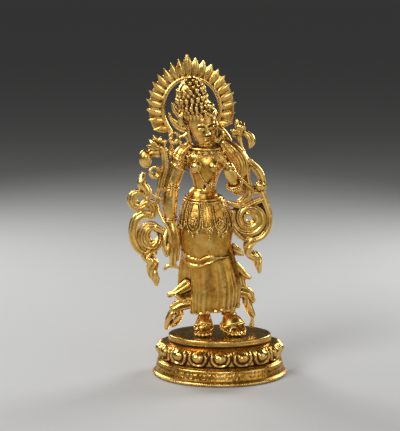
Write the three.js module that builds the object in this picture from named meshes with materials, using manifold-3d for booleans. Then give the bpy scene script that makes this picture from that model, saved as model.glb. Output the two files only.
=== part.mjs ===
// A standing goddess in gilt bronze, with a flaming nimbus, on an oval lotus pedestal.
// Millimetres, +Z up. She looks towards -Y, and +X is on the viewer's right.

import * as THREE from 'three';
import { LoftGeometry } from 'three/addons/geometries/LoftGeometry.js';
import { mergeVertices } from 'three/addons/utils/BufferGeometryUtils.js';
import Module from 'manifold-3d';

const wasm = await Module();
wasm.setup();

// Driving dimensions

const footHalfWidth = 42.6;
const footHalfDepth = 33;
const plateHalfWidth = 32.5;
const plateHalfDepth = 21;
const plateTop = 26;
const petalCount = 17;

const touchGap = 0.3;
const soleLevel = plateTop + touchGap;

const waistLevel = 119;
const beltLevel = 111.5;
const hemLevel = 40.5;
const scarfPlane = 2;

const headCentre = new THREE.Vector3(-11, -2.2, 157.6);
const headTurn = THREE.MathUtils.degToRad(17);
const headTilt = THREE.MathUtils.degToRad(-9);
const headNod = THREE.MathUtils.degToRad(7);

const nimbusCentre = new THREE.Vector3(-17.8, 10.9, 167.5);
const nimbusLean = THREE.MathUtils.degToRad(5);
const flamePairs = 10;
const flameDrop = 1.1;

// Solids

function toSolid(geometry) {
	const bare = new THREE.BufferGeometry();
	bare.setAttribute('position', geometry.attributes.position);
	bare.setIndex(geometry.index);
	const merged = mergeVertices(bare, 1e-4);
	return new wasm.Manifold(new wasm.Mesh({
		numProp: 3,
		vertProperties: new Float32Array(merged.attributes.position.array),
		triVerts: new Uint32Array(merged.index.array),
	}));
}

function join(solids) {
	return wasm.Manifold.union(solids);
}

// A ring of points around a centre, counterclockwise about the direction of travel.
function ringSection(centre, across, deep, halfWidth, halfDepth, sides) {
	const points = [];
	for (let i = 0; i < sides; i ++) {
		const angle = 2 * Math.PI * i / sides;
		points.push(centre.clone()
			.addScaledVector(across, halfWidth * Math.cos(angle))
			.addScaledVector(deep, halfDepth * Math.sin(angle)));
	}
	return points;
}

// A limb through stations of [x, y, z, half width, half depth]; its far end is rounded unless it is buried.
function limb(stations, { sides = 8, depthAxis = [0, 1, 0], buried = false } = {}) {
	const spine = new THREE.CatmullRomCurve3(stations.map(([x, y, z]) => new THREE.Vector3(x, y, z)));
	const girth = new THREE.CatmullRomCurve3(stations.map(([, , , w, d]) => new THREE.Vector3(w, d, 0)));
	const reference = new THREE.Vector3(...depthAxis);
	const last = stations.length - 1;
	const sections = [];
	for (let i = 0; i <= last; i ++) {
		const centre = spine.getPoint(i / last);
		const size = girth.getPoint(i / last);
		const along = spine.getTangent(i / last);
		const across = reference.clone().cross(along).normalize();
		const deep = along.clone().cross(across).normalize();
		sections.push(ringSection(centre, across, deep, size.x, size.y, sides));
		if (i === last && ! buried) {
			const tip = centre.clone().addScaledVector(along, 0.5 * Math.min(size.x, size.y));
			sections.push(ringSection(tip, across, deep, 0.5 * size.x, 0.5 * size.y, sides));
		}
	}
	return toSolid(new LoftGeometry(sections, { capStart: true, capEnd: true }));
}

// A ribbon of the scarves, in the plane of the scrolls: stations of [x, z, half width].
function ribbon(stations, { y = scarfPlane, halfDepth = 2.4, sides = 5, buried = false } = {}) {
	return limb(stations.map(([x, z, w]) => [x, y, z, w, Math.min(halfDepth, 0.5 + w)]), { sides, buried });
}

// A ribbon rolled into a coil, anticlockwise from an angle in degrees.
function coil({ centre, from, turns, startRadius, endRadius, halfWidth }, count = 16) {
	const stations = [];
	for (let i = 0; i <= count; i ++) {
		const t = i / count;
		const angle = THREE.MathUtils.degToRad(from + 360 * turns * t);
		const radius = THREE.MathUtils.lerp(startRadius, endRadius, t ** 0.8);
		stations.push([centre[0] + radius * Math.cos(angle), centre[1] + radius * Math.sin(angle), halfWidth]);
	}
	return ribbon(stations, { sides: 4, buried: true });
}

// A closed band through a loop of sections.
function loop(count, sectionAt) {
	const sections = [];
	for (let i = 0; i <= count; i ++) {
		sections.push(sectionAt(2 * Math.PI * (i % count) / count));
	}
	return toSolid(new LoftGeometry(sections));
}

// A flat curl with a hole that is off its centre.
function eyelet({ centre, reach, hole, holeReach, y = scarfPlane, halfDepth = 2.2 }, count = 9, sides = 4) {
	const deep = new THREE.Vector3(0, 1, 0);
	const onEdge = (middle, size, angle) => new THREE.Vector3(
		middle[0] + size[0] * Math.cos(angle),
		y,
		middle[1] + size[1] * Math.sin(angle));
	return loop(count, angle => {
		const outer = onEdge(centre, reach, angle);
		const inner = onEdge(hole, holeReach, angle);
		const middle = outer.clone().add(inner).multiplyScalar(0.5);
		const across = outer.clone().sub(inner);
		const halfWidth = across.length() / 2;
		const depth = Math.min(halfDepth, halfWidth + 0.4);
		return ringSection(middle, across.normalize(), deep, halfWidth, depth, sides);
	});
}

function ball([x, y, z], [rx, ry, rz], around = 5, down = 3) {
	const sphere = new THREE.SphereGeometry(1, around, down);
	sphere.rotateX(Math.PI / 2);
	sphere.scale(rx, ry, rz);
	sphere.translate(x, y, z);
	return toSolid(sphere);
}

// Lotus pedestal

// Half width and half depth of the pedestal for an inset that runs from the foot (0) to the plate (1).
function pedestalReach(inset) {
	return [
		THREE.MathUtils.lerp(footHalfWidth, plateHalfWidth, inset),
		THREE.MathUtils.lerp(footHalfDepth, plateHalfDepth, inset),
	];
}

// The moulding, from the ground up. A petal's raised rim and its round boss stand out in full at 1.
const pedestalProfile = [
	{ inset: 0.06, z: 0 },
	{ inset: 0, z: 1.4 },
	{ inset: 0.16, z: 3.2 },
	{ inset: 0.28, z: 9 },
	{ inset: 0.6, z: 11.2, rim: 0.5 },
	{ inset: 0.58, z: 13.4, rim: 1, boss: 0.3 },
	{ inset: 0.56, z: 16.8, rim: 1, boss: 1 },
	{ inset: 0.6, z: 19.6, rim: 0.9, boss: 0.4 },
	{ inset: 1, z: 21.6, rim: 0.2 },
	{ inset: 0.97, z: 22.9 },
	{ inset: 1, z: plateTop },
];
const petalSteps = 4;
const petalRim = 2.6;
const petalBoss = 1.4;

// A level of the pedestal: each petal has a furrow at its edges, two flanks and a middle.
function pedestalLevel({ inset, z, rim = 0, boss = 0 }) {
	const [halfWidth, halfDepth] = pedestalReach(inset);
	const points = [];
	for (let i = 0; i < petalCount * petalSteps; i ++) {
		const step = (i + petalSteps / 2) % petalSteps;
		const swell = step === 0 ? 0 : petalRim * rim + (step === petalSteps / 2 ? petalBoss * boss : 0);
		const angle = 2 * Math.PI * i / (petalCount * petalSteps) - Math.PI / 2;
		points.push(new THREE.Vector3(
			(halfWidth + swell) * Math.cos(angle),
			(halfDepth + swell) * Math.sin(angle),
			z));
	}
	return points;
}

function makePedestal() {
	return toSolid(new LoftGeometry(pedestalProfile.map(pedestalLevel), { capStart: true, capEnd: true }));
}

// Flame nimbus

const nimbusBand = { halfWidth: 18, halfHeight: 19.7, radial: 1.35, thick: 1.3 };
const nimbusFoot = { level: 139.5, spread: 16.6 };
const nimbusFeet = [nimbusCentre.x + nimbusFoot.spread + 2.6, nimbusCentre.x - nimbusFoot.spread + 4.2];
const flame = {
	reach: 34.2,
	apexReach: 1.2,
	shrink: 0.68,
	valley: 0.62,
	thick: 1.1,
};

// A point of the aureole, by its angle from the apex, positive towards the viewer's left.
function nimbusPoint(fromApex, halfWidth, halfHeight, forward = 0) {
	const angle = Math.PI / 2 + nimbusLean + fromApex;
	return new THREE.Vector3(
		nimbusCentre.x + halfWidth * Math.cos(angle),
		nimbusCentre.y - forward,
		nimbusCentre.z + halfHeight * Math.sin(angle));
}

// Angle of a flame's tip from the apex: the lower flames stand further apart.
function tipAngle(rank) {
	return Math.sign(rank) * THREE.MathUtils.degToRad(9.2 * Math.abs(rank) + 0.02 * Math.abs(rank) ** 3);
}

// A section through the band and the leaf on it; the leaf bends towards the apex by `bend`.
function flameSection(rootAngle, bend, reach, thick) {
	const { halfWidth, halfHeight, radial } = nimbusBand;
	const inner = nimbusPoint(rootAngle, halfWidth - radial, halfHeight - radial);
	const face = nimbusPoint(rootAngle, halfWidth, halfHeight, nimbusBand.thick);
	const back = nimbusPoint(rootAngle, halfWidth, halfHeight, - nimbusBand.thick);
	const tip = nimbusPoint(rootAngle - bend, reach, reach);
	tip.z -= flameDrop;
	const root = face.clone().add(back).multiplyScalar(0.5);
	const belly = root.clone().lerp(tip, 0.35);
	const shoulder = root.clone().lerp(tip, 0.75);
	const lift = new THREE.Vector3(0, thick, 0);
	return [
		inner,
		back,
		belly.clone().add(lift),
		shoulder.clone().addScaledVector(lift, 0.8),
		tip,
		shoulder.clone().addScaledVector(lift, - 0.8),
		belly.clone().sub(lift),
		face,
	];
}

// Each leaf has a tip, a full flank on its lower side and a valley on either side.
function makeFlames() {
	const { halfWidth } = nimbusBand;
	const sections = [];
	const addSection = (rank, share, thick) => {
		const bend = THREE.MathUtils.degToRad(1.1 * rank);
		const full = flame.reach - flame.shrink * Math.abs(rank) + (rank === 0 ? flame.apexReach : 0);
		const reach = THREE.MathUtils.lerp(halfWidth, full, share);
		sections.push(flameSection(tipAngle(rank) + bend, bend, reach, thick));
	};
	for (let rank = flamePairs; rank >= - flamePairs; rank --) {
		addSection(rank + 0.5, flame.valley, 0.5);
		if (rank >= 0) {
			addSection(rank + 0.28, 0.86, 0.9);
		}
		addSection(rank, 1, flame.thick);
		if (rank <= 0) {
			addSection(rank - 0.28, 0.86, 0.9);
		}
	}
	addSection(- flamePairs - 0.5, flame.valley, 0.5);
	return toSolid(new LoftGeometry(sections, { capStart: true, capEnd: true }));
}

// The band's ends run straight down behind the shoulders.
function makeNimbusLegs() {
	const end = tipAngle(flamePairs) + THREE.MathUtils.degToRad(11);
	const { halfWidth, halfHeight, radial, thick } = nimbusBand;
	return [- 1, 1].map((side, i) => {
		const top = nimbusPoint(side * end, halfWidth, halfHeight);
		const bend = nimbusPoint(side * (end + 0.12), halfWidth, halfHeight);
		return limb([
			[top.x, top.y, top.z, radial, thick],
			[bend.x, bend.y, bend.z, radial, thick],
			[nimbusFeet[i], nimbusCentre.y, nimbusFoot.level, radial, thick],
		], { sides: 4, buried: true });
	});
}

function makeNimbus() {
	return join([makeFlames(), ...makeNimbusLegs()]);
}

// Body, from the hem of the overskirt to the neck: [z, x, y, half width, half depth]

const bodyRows = [
	[76, - 7, - 0.5, 14.6, 11.3],
	[86, - 8.8, - 0.3, 16.4, 12],
	[95, - 8.8, 0.3, 16.9, 12.2],
	[104, - 9.2, 0.8, 15.2, 11.3],
	[111, - 9.9, 0.8, 12, 9.5],
	[114.5, - 10.3, 0.6, 10, 7.8],
	[waistLevel, - 9.5, 0.4, 7.2, 6.4],
	[124, - 9.4, 0, 7.8, 6.6],
	[130, - 9.3, - 0.4, 10, 7.4],
	[135, - 8.9, - 0.2, 12.4, 7.6],
	[139.5, - 8.4, 0.6, 14.6, 7],
	[143, - 8.7, 1.2, 12, 5.8],
	[145.5, - 9, 1, 7.2, 4.8],
	[148, - 9.8, 0.2, 5, 4.5],
	[153, - 11, - 0.5, 4.8, 4.8],
];

// The underskirt, from its hem up: [z, x, y, half width, half depth]
const skirtRows = [
	[hemLevel, - 4.4, - 0.8, 14.2, 10.2],
	[46, - 3.4, - 0.8, 15.4, 10.3],
	[55, - 2.4, - 0.6, 16, 10.2],
	[65, - 3.4, - 0.4, 15.4, 10],
	[74, - 5.2, - 0.3, 14.6, 10.2],
	[82, - 7.4, - 0.3, 14.6, 10.6],
];

// A row between the given ones, by a cubic through them.
function rowAt(rows, z) {
	const last = rows.length - 1;
	const i = THREE.MathUtils.clamp(rows.findIndex(row => row[0] >= z), 1, last);
	const near = [i - 2, i - 1, i, i + 1].map(k => rows[THREE.MathUtils.clamp(k, 0, last)]);
	const [before, start, end, after] = near;
	const span = end[0] - start[0];
	const t = (z - start[0]) / span;
	return start.map((value, k) => {
		const slopeIn = span * (end[k] - before[k]) / (end[0] - before[0]);
		const slopeOut = span * (after[k] - value) / (after[0] - start[0]);
		return THREE.MathUtils.lerp(value, end[k], t * t * (3 - 2 * t))
			+ t * (1 - t) * ((1 - t) * slopeIn - t * slopeOut);
	});
}

// A point on the dressed body: angle 0 is the front, positive towards the viewer's right.
function onBody(angle, z, lift = 0, rows = bodyRows) {
	const [, x, y, halfWidth, halfDepth] = rowAt(rows, z);
	return new THREE.Vector3(
		x + (halfWidth + lift) * Math.sin(angle),
		y - (halfDepth + lift) * Math.cos(angle),
		z);
}

// A loft over rows, with a function that shapes each point by its angle and level.
function wrap(rows, levels, sides, shape) {
	const sections = levels.map(z => {
		const points = [];
		for (let i = 0; i < sides; i ++) {
			const angle = 2 * Math.PI * i / sides;
			points.push(shape(onBody(angle, z, 0, rows), angle, z));
		}
		return points;
	});
	return toSolid(new LoftGeometry(sections, { capStart: true, capEnd: true }));
}

// How deep the furrow between the legs cuts, by angle.
function furrow(angle) {
	const turn = Math.atan2(Math.sin(angle + 0.12), Math.cos(angle + 0.12));
	return Math.exp(- ((turn / 0.26) ** 2));
}

function makeSkirt() {
	const hemSlope = 0.19;
	return wrap(skirtRows, [hemLevel, 46, 54, 64, 78], 20, (point, angle, z) => {
		const low = THREE.MathUtils.clamp((60 - z) / 20, 0, 1);
		const ripple = 0.5 * low * Math.cos(10 * angle);
		point.x += ripple * Math.sin(angle);
		point.y -= ripple * Math.cos(angle);
		point.y += 1.9 * furrow(angle);
		point.z += low * hemSlope * (point.x + 18.5);
		return point;
	});
}

// The belt, the girdle of bead strings below it and the collar stand out from the body.
function relief(angle, z) {
	const front = Math.cos(angle);
	const belt = z > beltLevel && z < beltLevel + 2 ? 1.2 : 0;
	const girdle = z >= 97 && z < beltLevel ? 0.6 : 0;
	const collar = z > 139 && z < 145 ? Math.max(0, front) : 0;
	return belt + girdle + collar;
}

function makeTorso() {
	const levels = [75.5, 80, 88, 95.6, 97, 105, 111.6, 113.4, 115, 119, 126, 132, 138, 142, 146, 153];
	return wrap(bodyRows, levels, 16, (point, angle, z) => {
		const low = THREE.MathUtils.clamp((92 - z) / 16, 0, 1);
		const lift = relief(angle, z);
		point.x += lift * Math.sin(angle);
		point.y -= lift * Math.cos(angle);
		point.y += 1.6 * low * furrow(angle);
		point.z -= 4.5 * low * Math.cos(2 * angle + 0.9) * Math.cos(angle);
		if (Math.abs(z - 96.2) < 1) {
			point.z -= 1.6 * Math.cos(4 * angle);
		}
		return point;
	});
}

// The breasts, and the shawl over her left shoulder
function makeUpperBody() {
	return [
		ball([- 14.4, - 4.6, 132.8], [4.6, 4.4, 4.6], 6, 4),
		ball([- 3.4, - 4.6, 132.8], [4.6, 4.4, 4.6], 6, 4),
		limb([
			[4.6, 2, 144.4, 3, 4.6],
			[9.8, 1, 141, 4.2, 5.6],
			[11.6, - 0.4, 134, 4.8, 5.4],
			[8, - 3, 128.6, 3, 3],
		], { sides: 6 }),
	];
}

// Lugs behind the shoulders, that the nimbus is fixed to
function makeNimbusLugs() {
	const lugFace = nimbusCentre.y - nimbusBand.thick - touchGap;
	const depth = 8;
	return nimbusFeet.map(x => toSolid(
		new THREE.BoxGeometry(4, depth, 5).translate(x, lugFace - depth / 2, nimbusFoot.level + 0.5)));
}

// The back cloth stands out beyond the skirt and ends in curled corners.
function makeBackCloth() {
	const panel = limb([
		[- 8.2, 5.5, 94, 14.5, 4],
		[- 9, 5.5, 76, 15.8, 4],
		[- 8.6, 5.5, 58, 18.4, 3.8],
		[- 7, 5, 47.5, 19, 2.6],
	], { sides: 8 });
	return [
		panel,
		ribbon([[- 20, 57, 4], [- 27, 52.6, 2.6], [- 32.4, 51, 1.2]]),
		eyelet({ centre: [- 31.8, 50], reach: [2.1, 1.9], hole: [- 31.6, 49.9], holeReach: [0.5, 0.4], y: 3 }, 6),
		ribbon([[9, 69, 3.6], [14.5, 63.5, 2.8], [18.6, 61.6, 1.5]]),
		ribbon([[9, 66, 4], [12.6, 59, 3.6], [12.6, 53, 3.6], [9, 49.4, 2.4]]),
		eyelet({ centre: [15, 55.3], reach: [2.6, 2.4], hole: [15.2, 55.5], holeReach: [0.9, 0.8] }, 6),
	];
}

function makeHipSash() {
	return [ribbon([[5, 82, 3], [11, 78.6, 2.8], [14, 76.6, 0.8]], { y: 1 })];
}

// Arms and hands

// A band around a limb, as a ridge on it.
function banded([x, y, z, w, d], swell = 0.9) {
	return [[x, y, z + 0.9, w, d], [x, y, z, w + swell, d + swell], [x, y, z - 0.9, w, d]];
}

function makeRightArm() {
	return [
		limb([
			[- 20, 1.4, 145, 2.6, 3],
			[- 23.2, 1.6, 141.4, 4.4, 4.6],
			...banded([- 25.4, 1.4, 134.5, 4.9, 4.8], 0.8),
			[- 28.4, 0.8, 125, 4.7, 4.6],
			...banded([- 30.6, 0.2, 119.5, 4.7, 4.6]),
			[- 31.2, - 0.8, 111, 4.9, 4.4],
			...banded([- 30.9, - 2.1, 100.4, 3.6, 3.1], 0.8),
			[- 30.4, - 2.8, 95.5, 3.6, 2.2],
		], { buried: true }),
		ball([- 29.8, - 4.6, 121.5], [2.5, 1.6, 2.6]),
	];
}

function makeRightHand() {
	return [
		limb([
			[- 30.4, - 2.8, 97, 3.4, 2.3],
			[- 29, - 3.8, 91, 4.6, 2.6],
			[- 28.6, - 4.4, 84, 4.4, 2.1],
		], { sides: 6 }),
		limb([
			[- 32, - 4, 95, 2, 1.7],
			[- 34.6, - 5.4, 87, 2.4, 1.9],
			[- 33.8, - 6.6, 77.4, 1.8, 1.5],
		], { sides: 4 }),
		limb([
			[- 29.4, - 4.6, 87, 3.4, 1.8],
			[- 29.4, - 5.8, 79, 3.2, 1.7],
			[- 29.8, - 5.4, 71.2, 2.7, 1.4],
		], { sides: 5 }),
		ribbon([[- 34.4, 68.6, 1], [- 30.6, 71.2, 2.2], [- 26.4, 69.4, 1]], { y: - 4.6, sides: 4 }),
	];
}

function makeLeftArm() {
	return [
		limb([
			[3, 1.6, 145, 2.6, 3],
			[7, 1.8, 140.5, 4.8, 4.8],
			[10, 2, 135, 4.8, 4.8],
			[12, 2.4, 127, 4.3, 4.4],
			[12.6, 1.6, 119.4, 4, 4],
		]),
		limb([
			[12.4, 2.4, 119, 4, 3.6],
			[11.2, - 4, 118.8, 4.1, 3.8],
			[9.4, - 10, 121.2, 3.8, 3.6],
			[9, - 11, 122, 4.8, 4.6],
			[8.4, - 12.2, 123.2, 4.8, 4.6],
			[7.8, - 13.6, 126, 2.8, 2.4],
		], { sides: 7, depthAxis: [0, 0, 1], buried: true }),
		limb([
			[7.6, - 13.4, 125, 3, 2.6],
			[6.2, - 15.2, 130.4, 4.3, 3],
			[3.2, - 16.4, 138, 2.2, 1.8],
		], { sides: 6 }),
		limb([
			[7.5, - 15, 133, 1.2, 1.2],
			[12, - 12, 127, 1.2, 1.2],
			[20.6, 0, 117.4, 1.4, 1.4],
		], { sides: 4 }),
	];
}

// Legs and feet

// The toes, as one wedge with a scalloped front
function makeToes([x, y]) {
	const sections = [];
	const toes = 5;
	for (let i = 0; i <= 2 * toes; i ++) {
		const across = 1.15 * (i - toes);
		const reach = i % 2 === 1 ? 0 : 1.8;
		const front = y + 0.07 * across ** 2 + reach;
		const height = i % 2 === 1 ? 2.4 : 1.6;
		sections.push([
			new THREE.Vector3(x + across, front, soleLevel),
			new THREE.Vector3(x + across, y + 7, soleLevel),
			new THREE.Vector3(x + across, y + 7, soleLevel + 3),
			new THREE.Vector3(x + across, front + 1, soleLevel + height),
		]);
	}
	return toSolid(new LoftGeometry(sections, { capStart: true, capEnd: true }));
}

function makeFoot({ heel, toe, cuffHalfWidth, ankleTop }) {
	const instep = [(heel[0] + toe[0]) / 2, (heel[1] + toe[1]) / 2 - 1];
	return [
		limb([
			[...ankleTop, 4.4, 4.4],
			[heel[0], 0.2, 38, 3.6, 3.8],
			[heel[0] + 0.4, - 0.6, 35.4, 4.6, 5],
			[instep[0], instep[1], 31, cuffHalfWidth, 6.4],
			[heel[0], 1, 27.8, 4.2, 5.4],
		]),
		makeToes(toe),
	];
}

function makeFeet() {
	const ground = toSolid(new THREE.BoxGeometry(80, 60, 10).translate(0, 0, soleLevel - 5));
	const feet = join([
		...makeFoot({ heel: [- 9.6, 5.5], toe: [- 10.4, - 12.6], cuffHalfWidth: 6.2, ankleTop: [- 9.6, 0.6, 50] }),
		...makeFoot({ heel: [6.4, 5.5], toe: [10.4, - 11.6], cuffHalfWidth: 8.2, ankleTop: [5.2, 0.6, 52] }),
	]);
	return feet.subtract(ground);
}

// Head and hair: shaped upright at the origin, then turned into place.

function placeHead(geometry) {
	geometry.rotateX(headNod);
	geometry.rotateY(headTilt);
	geometry.rotateZ(headTurn);
	geometry.translate(headCentre.x, headCentre.y, headCentre.z);
	return toSolid(geometry);
}

// From the chin up to the top of the piled hair: [z, x, y, half width, half depth, depth of the knobs]
const headRows = [
	[- 10, 0, - 4.2, 3, 2.4, 0],
	[- 8, 0, - 3.8, 5, 4.6, 0],
	[- 4.6, 0, - 2.2, 7.2, 7, 0],
	[0, 0, - 0.8, 8.7, 8.8, 0],
	[4.6, 0, - 0.2, 9.1, 9.2, 0],
	[7.4, 0, 0.4, 9.9, 9, 0],
	[10.2, - 0.7, 0.6, 8.4, 7.6, 0],
	[13, - 2.4, 0.6, 9.8, 8, 0.08],
	[15.6, - 3.6, 0.8, 9.4, 7.4, 0],
	[18.4, - 4.3, 1.2, 10.6, 7.6, 0.1],
	[21.6, - 4.3, 1.6, 9.4, 6.8, 0],
	[24.4, - 3.9, 2, 9.2, 6.6, 0.1],
	[27.4, - 3.2, 2.6, 6.8, 5.2, 0],
	[29.6, - 2.7, 2.8, 5.4, 4.4, 0.12],
	[31.4, - 2.5, 3, 2, 1.8, 0],
];

function makeHead() {
	const sides = 12;
	const sections = headRows.map(([z, x, y, halfWidth, halfDepth, knob]) => {
		const points = [];
		for (let i = 0; i < sides; i ++) {
			const angle = 2 * Math.PI * i / sides;
			const swell = 1 + knob * Math.cos(sides / 2 * angle);
			points.push(new THREE.Vector3(
				x + swell * halfWidth * Math.cos(angle),
				y + swell * halfDepth * Math.sin(angle),
				z));
		}
		return points;
	});
	const bump = ([x, y, z], [rx, ry, rz]) => placeHead(
		new THREE.SphereGeometry(1, 5, 3).rotateX(Math.PI / 2).scale(rx, ry, rz).translate(x, y, z));
	return [
		placeHead(new LoftGeometry(sections, { capStart: true, capEnd: true })),
		bump([0, - 8.8, - 1], [1.5, 2.2, 2.8]),
		bump([- 8.6, 0.6, - 2.4], [1.7, 2.4, 4.6]),
		bump([8.6, 0.6, - 2.4], [1.7, 2.4, 4.6]),
	];
}

function makeCrown() {
	return [
		eyelet({ centre: [- 19.4, 169.8], reach: [3.9, 3.9], hole: [- 19.4, 170.2], holeReach: [2.3, 2.3],
			y: - 8.2, halfDepth: 1.4 }, 8),
		ball([- 19.4, - 8.2, 170], [2.2, 1.6, 2.4]),
		ball([- 12.6, - 9, 172], [2, 2.4, 2.8]),
		ball([- 6.4, - 8, 170.6], [2.8, 2, 2.4]),
		ribbon([[- 19, 162, 4], [- 25, 164.6, 2.8], [- 29, 170.6, 1.8]], { y: 0.4, halfDepth: 2 }),
		ribbon([[- 19, 156, 3.4], [- 27, 158.4, 3], [- 31.4, 165, 1]], { y: 0.6, halfDepth: 2 }),
		limb([[- 4, 4, 158, 3, 2.6], [2.6, 4.4, 151, 3.4, 2.6], [6.6, 4, 144, 2.4, 2]], { sides: 5, buried: true }),
		eyelet({ centre: [- 28.4, 150.4], reach: [3.8, 4.2], hole: [- 28.8, 151.2], holeReach: [1.7, 1.8],
			y: 0.6 }, 7),
		eyelet({ centre: [- 22.4, 149], reach: [3.6, 3.8], hole: [- 22.8, 149], holeReach: [1.4, 1.6], y: 0 }, 7),
		ribbon([[- 19, 154.6, 1.6], [- 22.4, 151.6, 1.2]], { y: 0, sides: 4, buried: true }),
		eyelet({ centre: [- 1.6, 152], reach: [4, 5], hole: [- 1.2, 153.6], holeReach: [1.6, 1.9], y: 0 }, 7),
	];
}

// Lotuses on their stems

function makeFlower([x, y, z], tips) {
	const petals = tips.map(([tipX, tipZ]) => limb([
		[x, y, z - 1.5, 1.4, 1.4],
		[x + 0.62 * (tipX - x), y - 1.4, z + 0.42 * (tipZ - z), 2, 1.3],
		[tipX, y - 0.6, tipZ, 0.6, 0.6],
	], { sides: 4 }));
	return [ball([x, y, z - 0.5], [3.5, 3.2, 3.5]), ...petals];
}

function makeLeftLotus() {
	return [
		...makeFlower([- 38.6, 1.5, 145], [[- 41.1, 151.9], [- 45.2, 145.4], [- 33.7, 148.6], [- 32.4, 142.8]]),
		ball([- 46.4, 1.5, 137.4], [4.3, 3.6, 6.1], 6, 4),
		ribbon([[- 44, 140, 3], [- 38.5, 141.4, 4]], { y: 1.5, sides: 4, buried: true }),
		ribbon([[- 35.8, 144, 2.2], [- 34.2, 134, 2.2], [- 35.8, 126, 2.8], [- 37.4, 119, 2.6],
			[- 38.6, 109, 2.2], [- 35.8, 99.8, 1.5], [- 31, 89, 1.3]], { y: 0.4, sides: 4 }),
		eyelet({ centre: [- 40.2, 128.8], reach: [4.6, 4.3], hole: [- 40.8, 129.6], holeReach: [1.2, 1.4],
			y: 1 }, 7),
		ribbon([[- 37, 112, 1.6], [- 41.2, 114.8, 0.7]], { y: 0.4, sides: 4 }),
	];
}

function makeRightLotus() {
	return [
		...makeFlower([11.6, 1.5, 154.6], [[10, 162.2], [14.6, 159.4], [17.2, 154], [6.6, 155]]),
		limb([[13, 1.5, 154, 1.4, 1.3], [18, 1.5, 151.6, 2.2, 2], [19.6, 1.5, 147.6, 2.3, 2.1],
			[18.6, 1.5, 144.6, 1, 1]], { sides: 5 }),
		ribbon([[11.6, 153, 1.8], [12.4, 146.6, 1.6], [16.4, 137, 1.7]], { y: 1.5, sides: 4, buried: true }),
	];
}

// Scarves

function makeLeftScarf() {
	return [
		ribbon([[- 46, 112.6, 2.3], [- 45, 115.4, 2.6], [- 46.6, 118.6, 3.2], [- 48.2, 122.2, 3.8],
			[- 48.2, 126.4, 1.8]]),
		eyelet({ centre: [- 51, 111], reach: [7.3, 7], hole: [- 49.6, 111.8], holeReach: [2, 1.8] }),
		eyelet({ centre: [- 44.2, 105.6], reach: [6.2, 6.4], hole: [- 46.4, 105], holeReach: [1.4, 2.2] }),
		ribbon([[- 43, 101.4, 2.2], [- 50.6, 101, 2.9], [- 54.6, 93, 2.9], [- 53, 83.6, 2.9], [- 46.6, 78, 2.6]],
			{ buried: true }),
		eyelet({ centre: [- 44, 87.6], reach: [7.9, 10], hole: [- 41, 89.2], holeReach: [2.3, 3.2],
			halfDepth: 2.8 }, 10),
		ribbon([[- 44.6, 79.4, 4], [- 46, 74, 4.2], [- 41.6, 71, 4.2], [- 42.4, 65, 4], [- 40.4, 60.6, 2.8],
			[- 40.2, 57, 1.2]]),
		ribbon([[- 39.6, 94, 2.4], [- 33.6, 90.6, 2]], { y: 0.4, sides: 4, buried: true }),
	];
}

function makeRightScarf() {
	return [
		ribbon([[10.6, 144, 2.4], [13.4, 138.4, 2.6], [18.6, 134.2, 2.6], [23, 130.4, 2.6],
			[26.2, 124.6, 2.5], [26, 118.6, 3], [20, 117.4, 3]], { buried: true }),
		ball([24.8, 1.2, 120.4], [3.2, 3.2, 3.2]),
		ribbon([[17.6, 136, 2], [17, 126, 2.2], [17.4, 113.6, 3], [12.6, 110.4, 2.2]]),
		ribbon([[25.4, 117, 2.6], [28, 110.6, 2.3], [31, 102, 2], [30.6, 94, 2], [26.4, 87.8, 2],
			[19.4, 86, 2], [13, 88.6, 2], [9, 93, 2]], { buried: true }),
		ribbon([[6, 109.6, 1.8], [15.5, 108.2, 2], [27.2, 112, 2]], { sides: 4, buried: true }),
		coil({ centre: [18.6, 99.6], from: 160, turns: 1.85, startRadius: 11.6, endRadius: 3.1, halfWidth: 2.1 }),
		ribbon([[19.6, 86, 4.6], [18, 80.4, 3.6], [19, 76.6, 3.2], [23, 74.6, 3.2], [24.2, 70, 2.4],
			[25.1, 65.4, 1.1]]),
	];
}

// The scarf ends at her ankles are rolled into puffs with tassels.
function makeScarfEnds() {
	return [
		ribbon([[- 15, 45.6, 4], [- 24.6, 44.4, 4.4], [- 30, 41.4, 2.8]], { halfDepth: 3.4 }),
		ribbon([[- 25, 41, 1.8], [- 30.6, 38.6, 2.2], [- 34, 28.8, 1.3]]),
		ribbon([[- 27, 41, 3.2], [- 26, 35.6, 3.4], [- 30, 30.8, 1.8]]),
		ribbon([[9.6, 52, 4.6], [16.6, 52.4, 4.2], [20.6, 47, 2.6]], { halfDepth: 3.2 }),
		ribbon([[16, 51, 2], [18, 43, 2.8], [21.4, 36.4, 1.9]], { halfDepth: 2.6 }),
		ribbon([[20.6, 38, 1.6], [20.4, 30.8, 2]], { halfDepth: 1.8, sides: 4 }),
	];
}

// Jewellery

// Bead strings laid on the hips through [angle, level] pairs
function festoon(pairs, radius = 1) {
	return limb(pairs.map(([angle, z]) => [...onBody(angle, z, 0.7), radius, radius]), { sides: 4 });
}

function makeJewellery() {
	const solids = [
		limb([
			[- 15.6, - 6.6, 136, 0.8, 0.8],
			[- 12, - 7.4, 125, 0.8, 0.8],
			[- 5, - 7.4, 121.6, 1, 1],
			[- 1.4, - 6.6, 134, 0.8, 0.8],
		], { sides: 4 }),
		ball([- 5.8, - 12.2, 94.6], [2.3, 1.6, 2.3]),
	];
	[- 0.45, 0.62].forEach(angle => {
		const rosette = onBody(angle, 99.6);
		solids.push(festoon([[angle - 0.3, 102], [angle - 0.22, 95.6], [angle, 93], [angle + 0.22, 95.6],
			[angle + 0.3, 102]]));
		solids.push(ball([rosette.x, rosette.y, rosette.z], [2.2, 1.8, 2.5]));
	});
	return solids;
}

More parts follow.
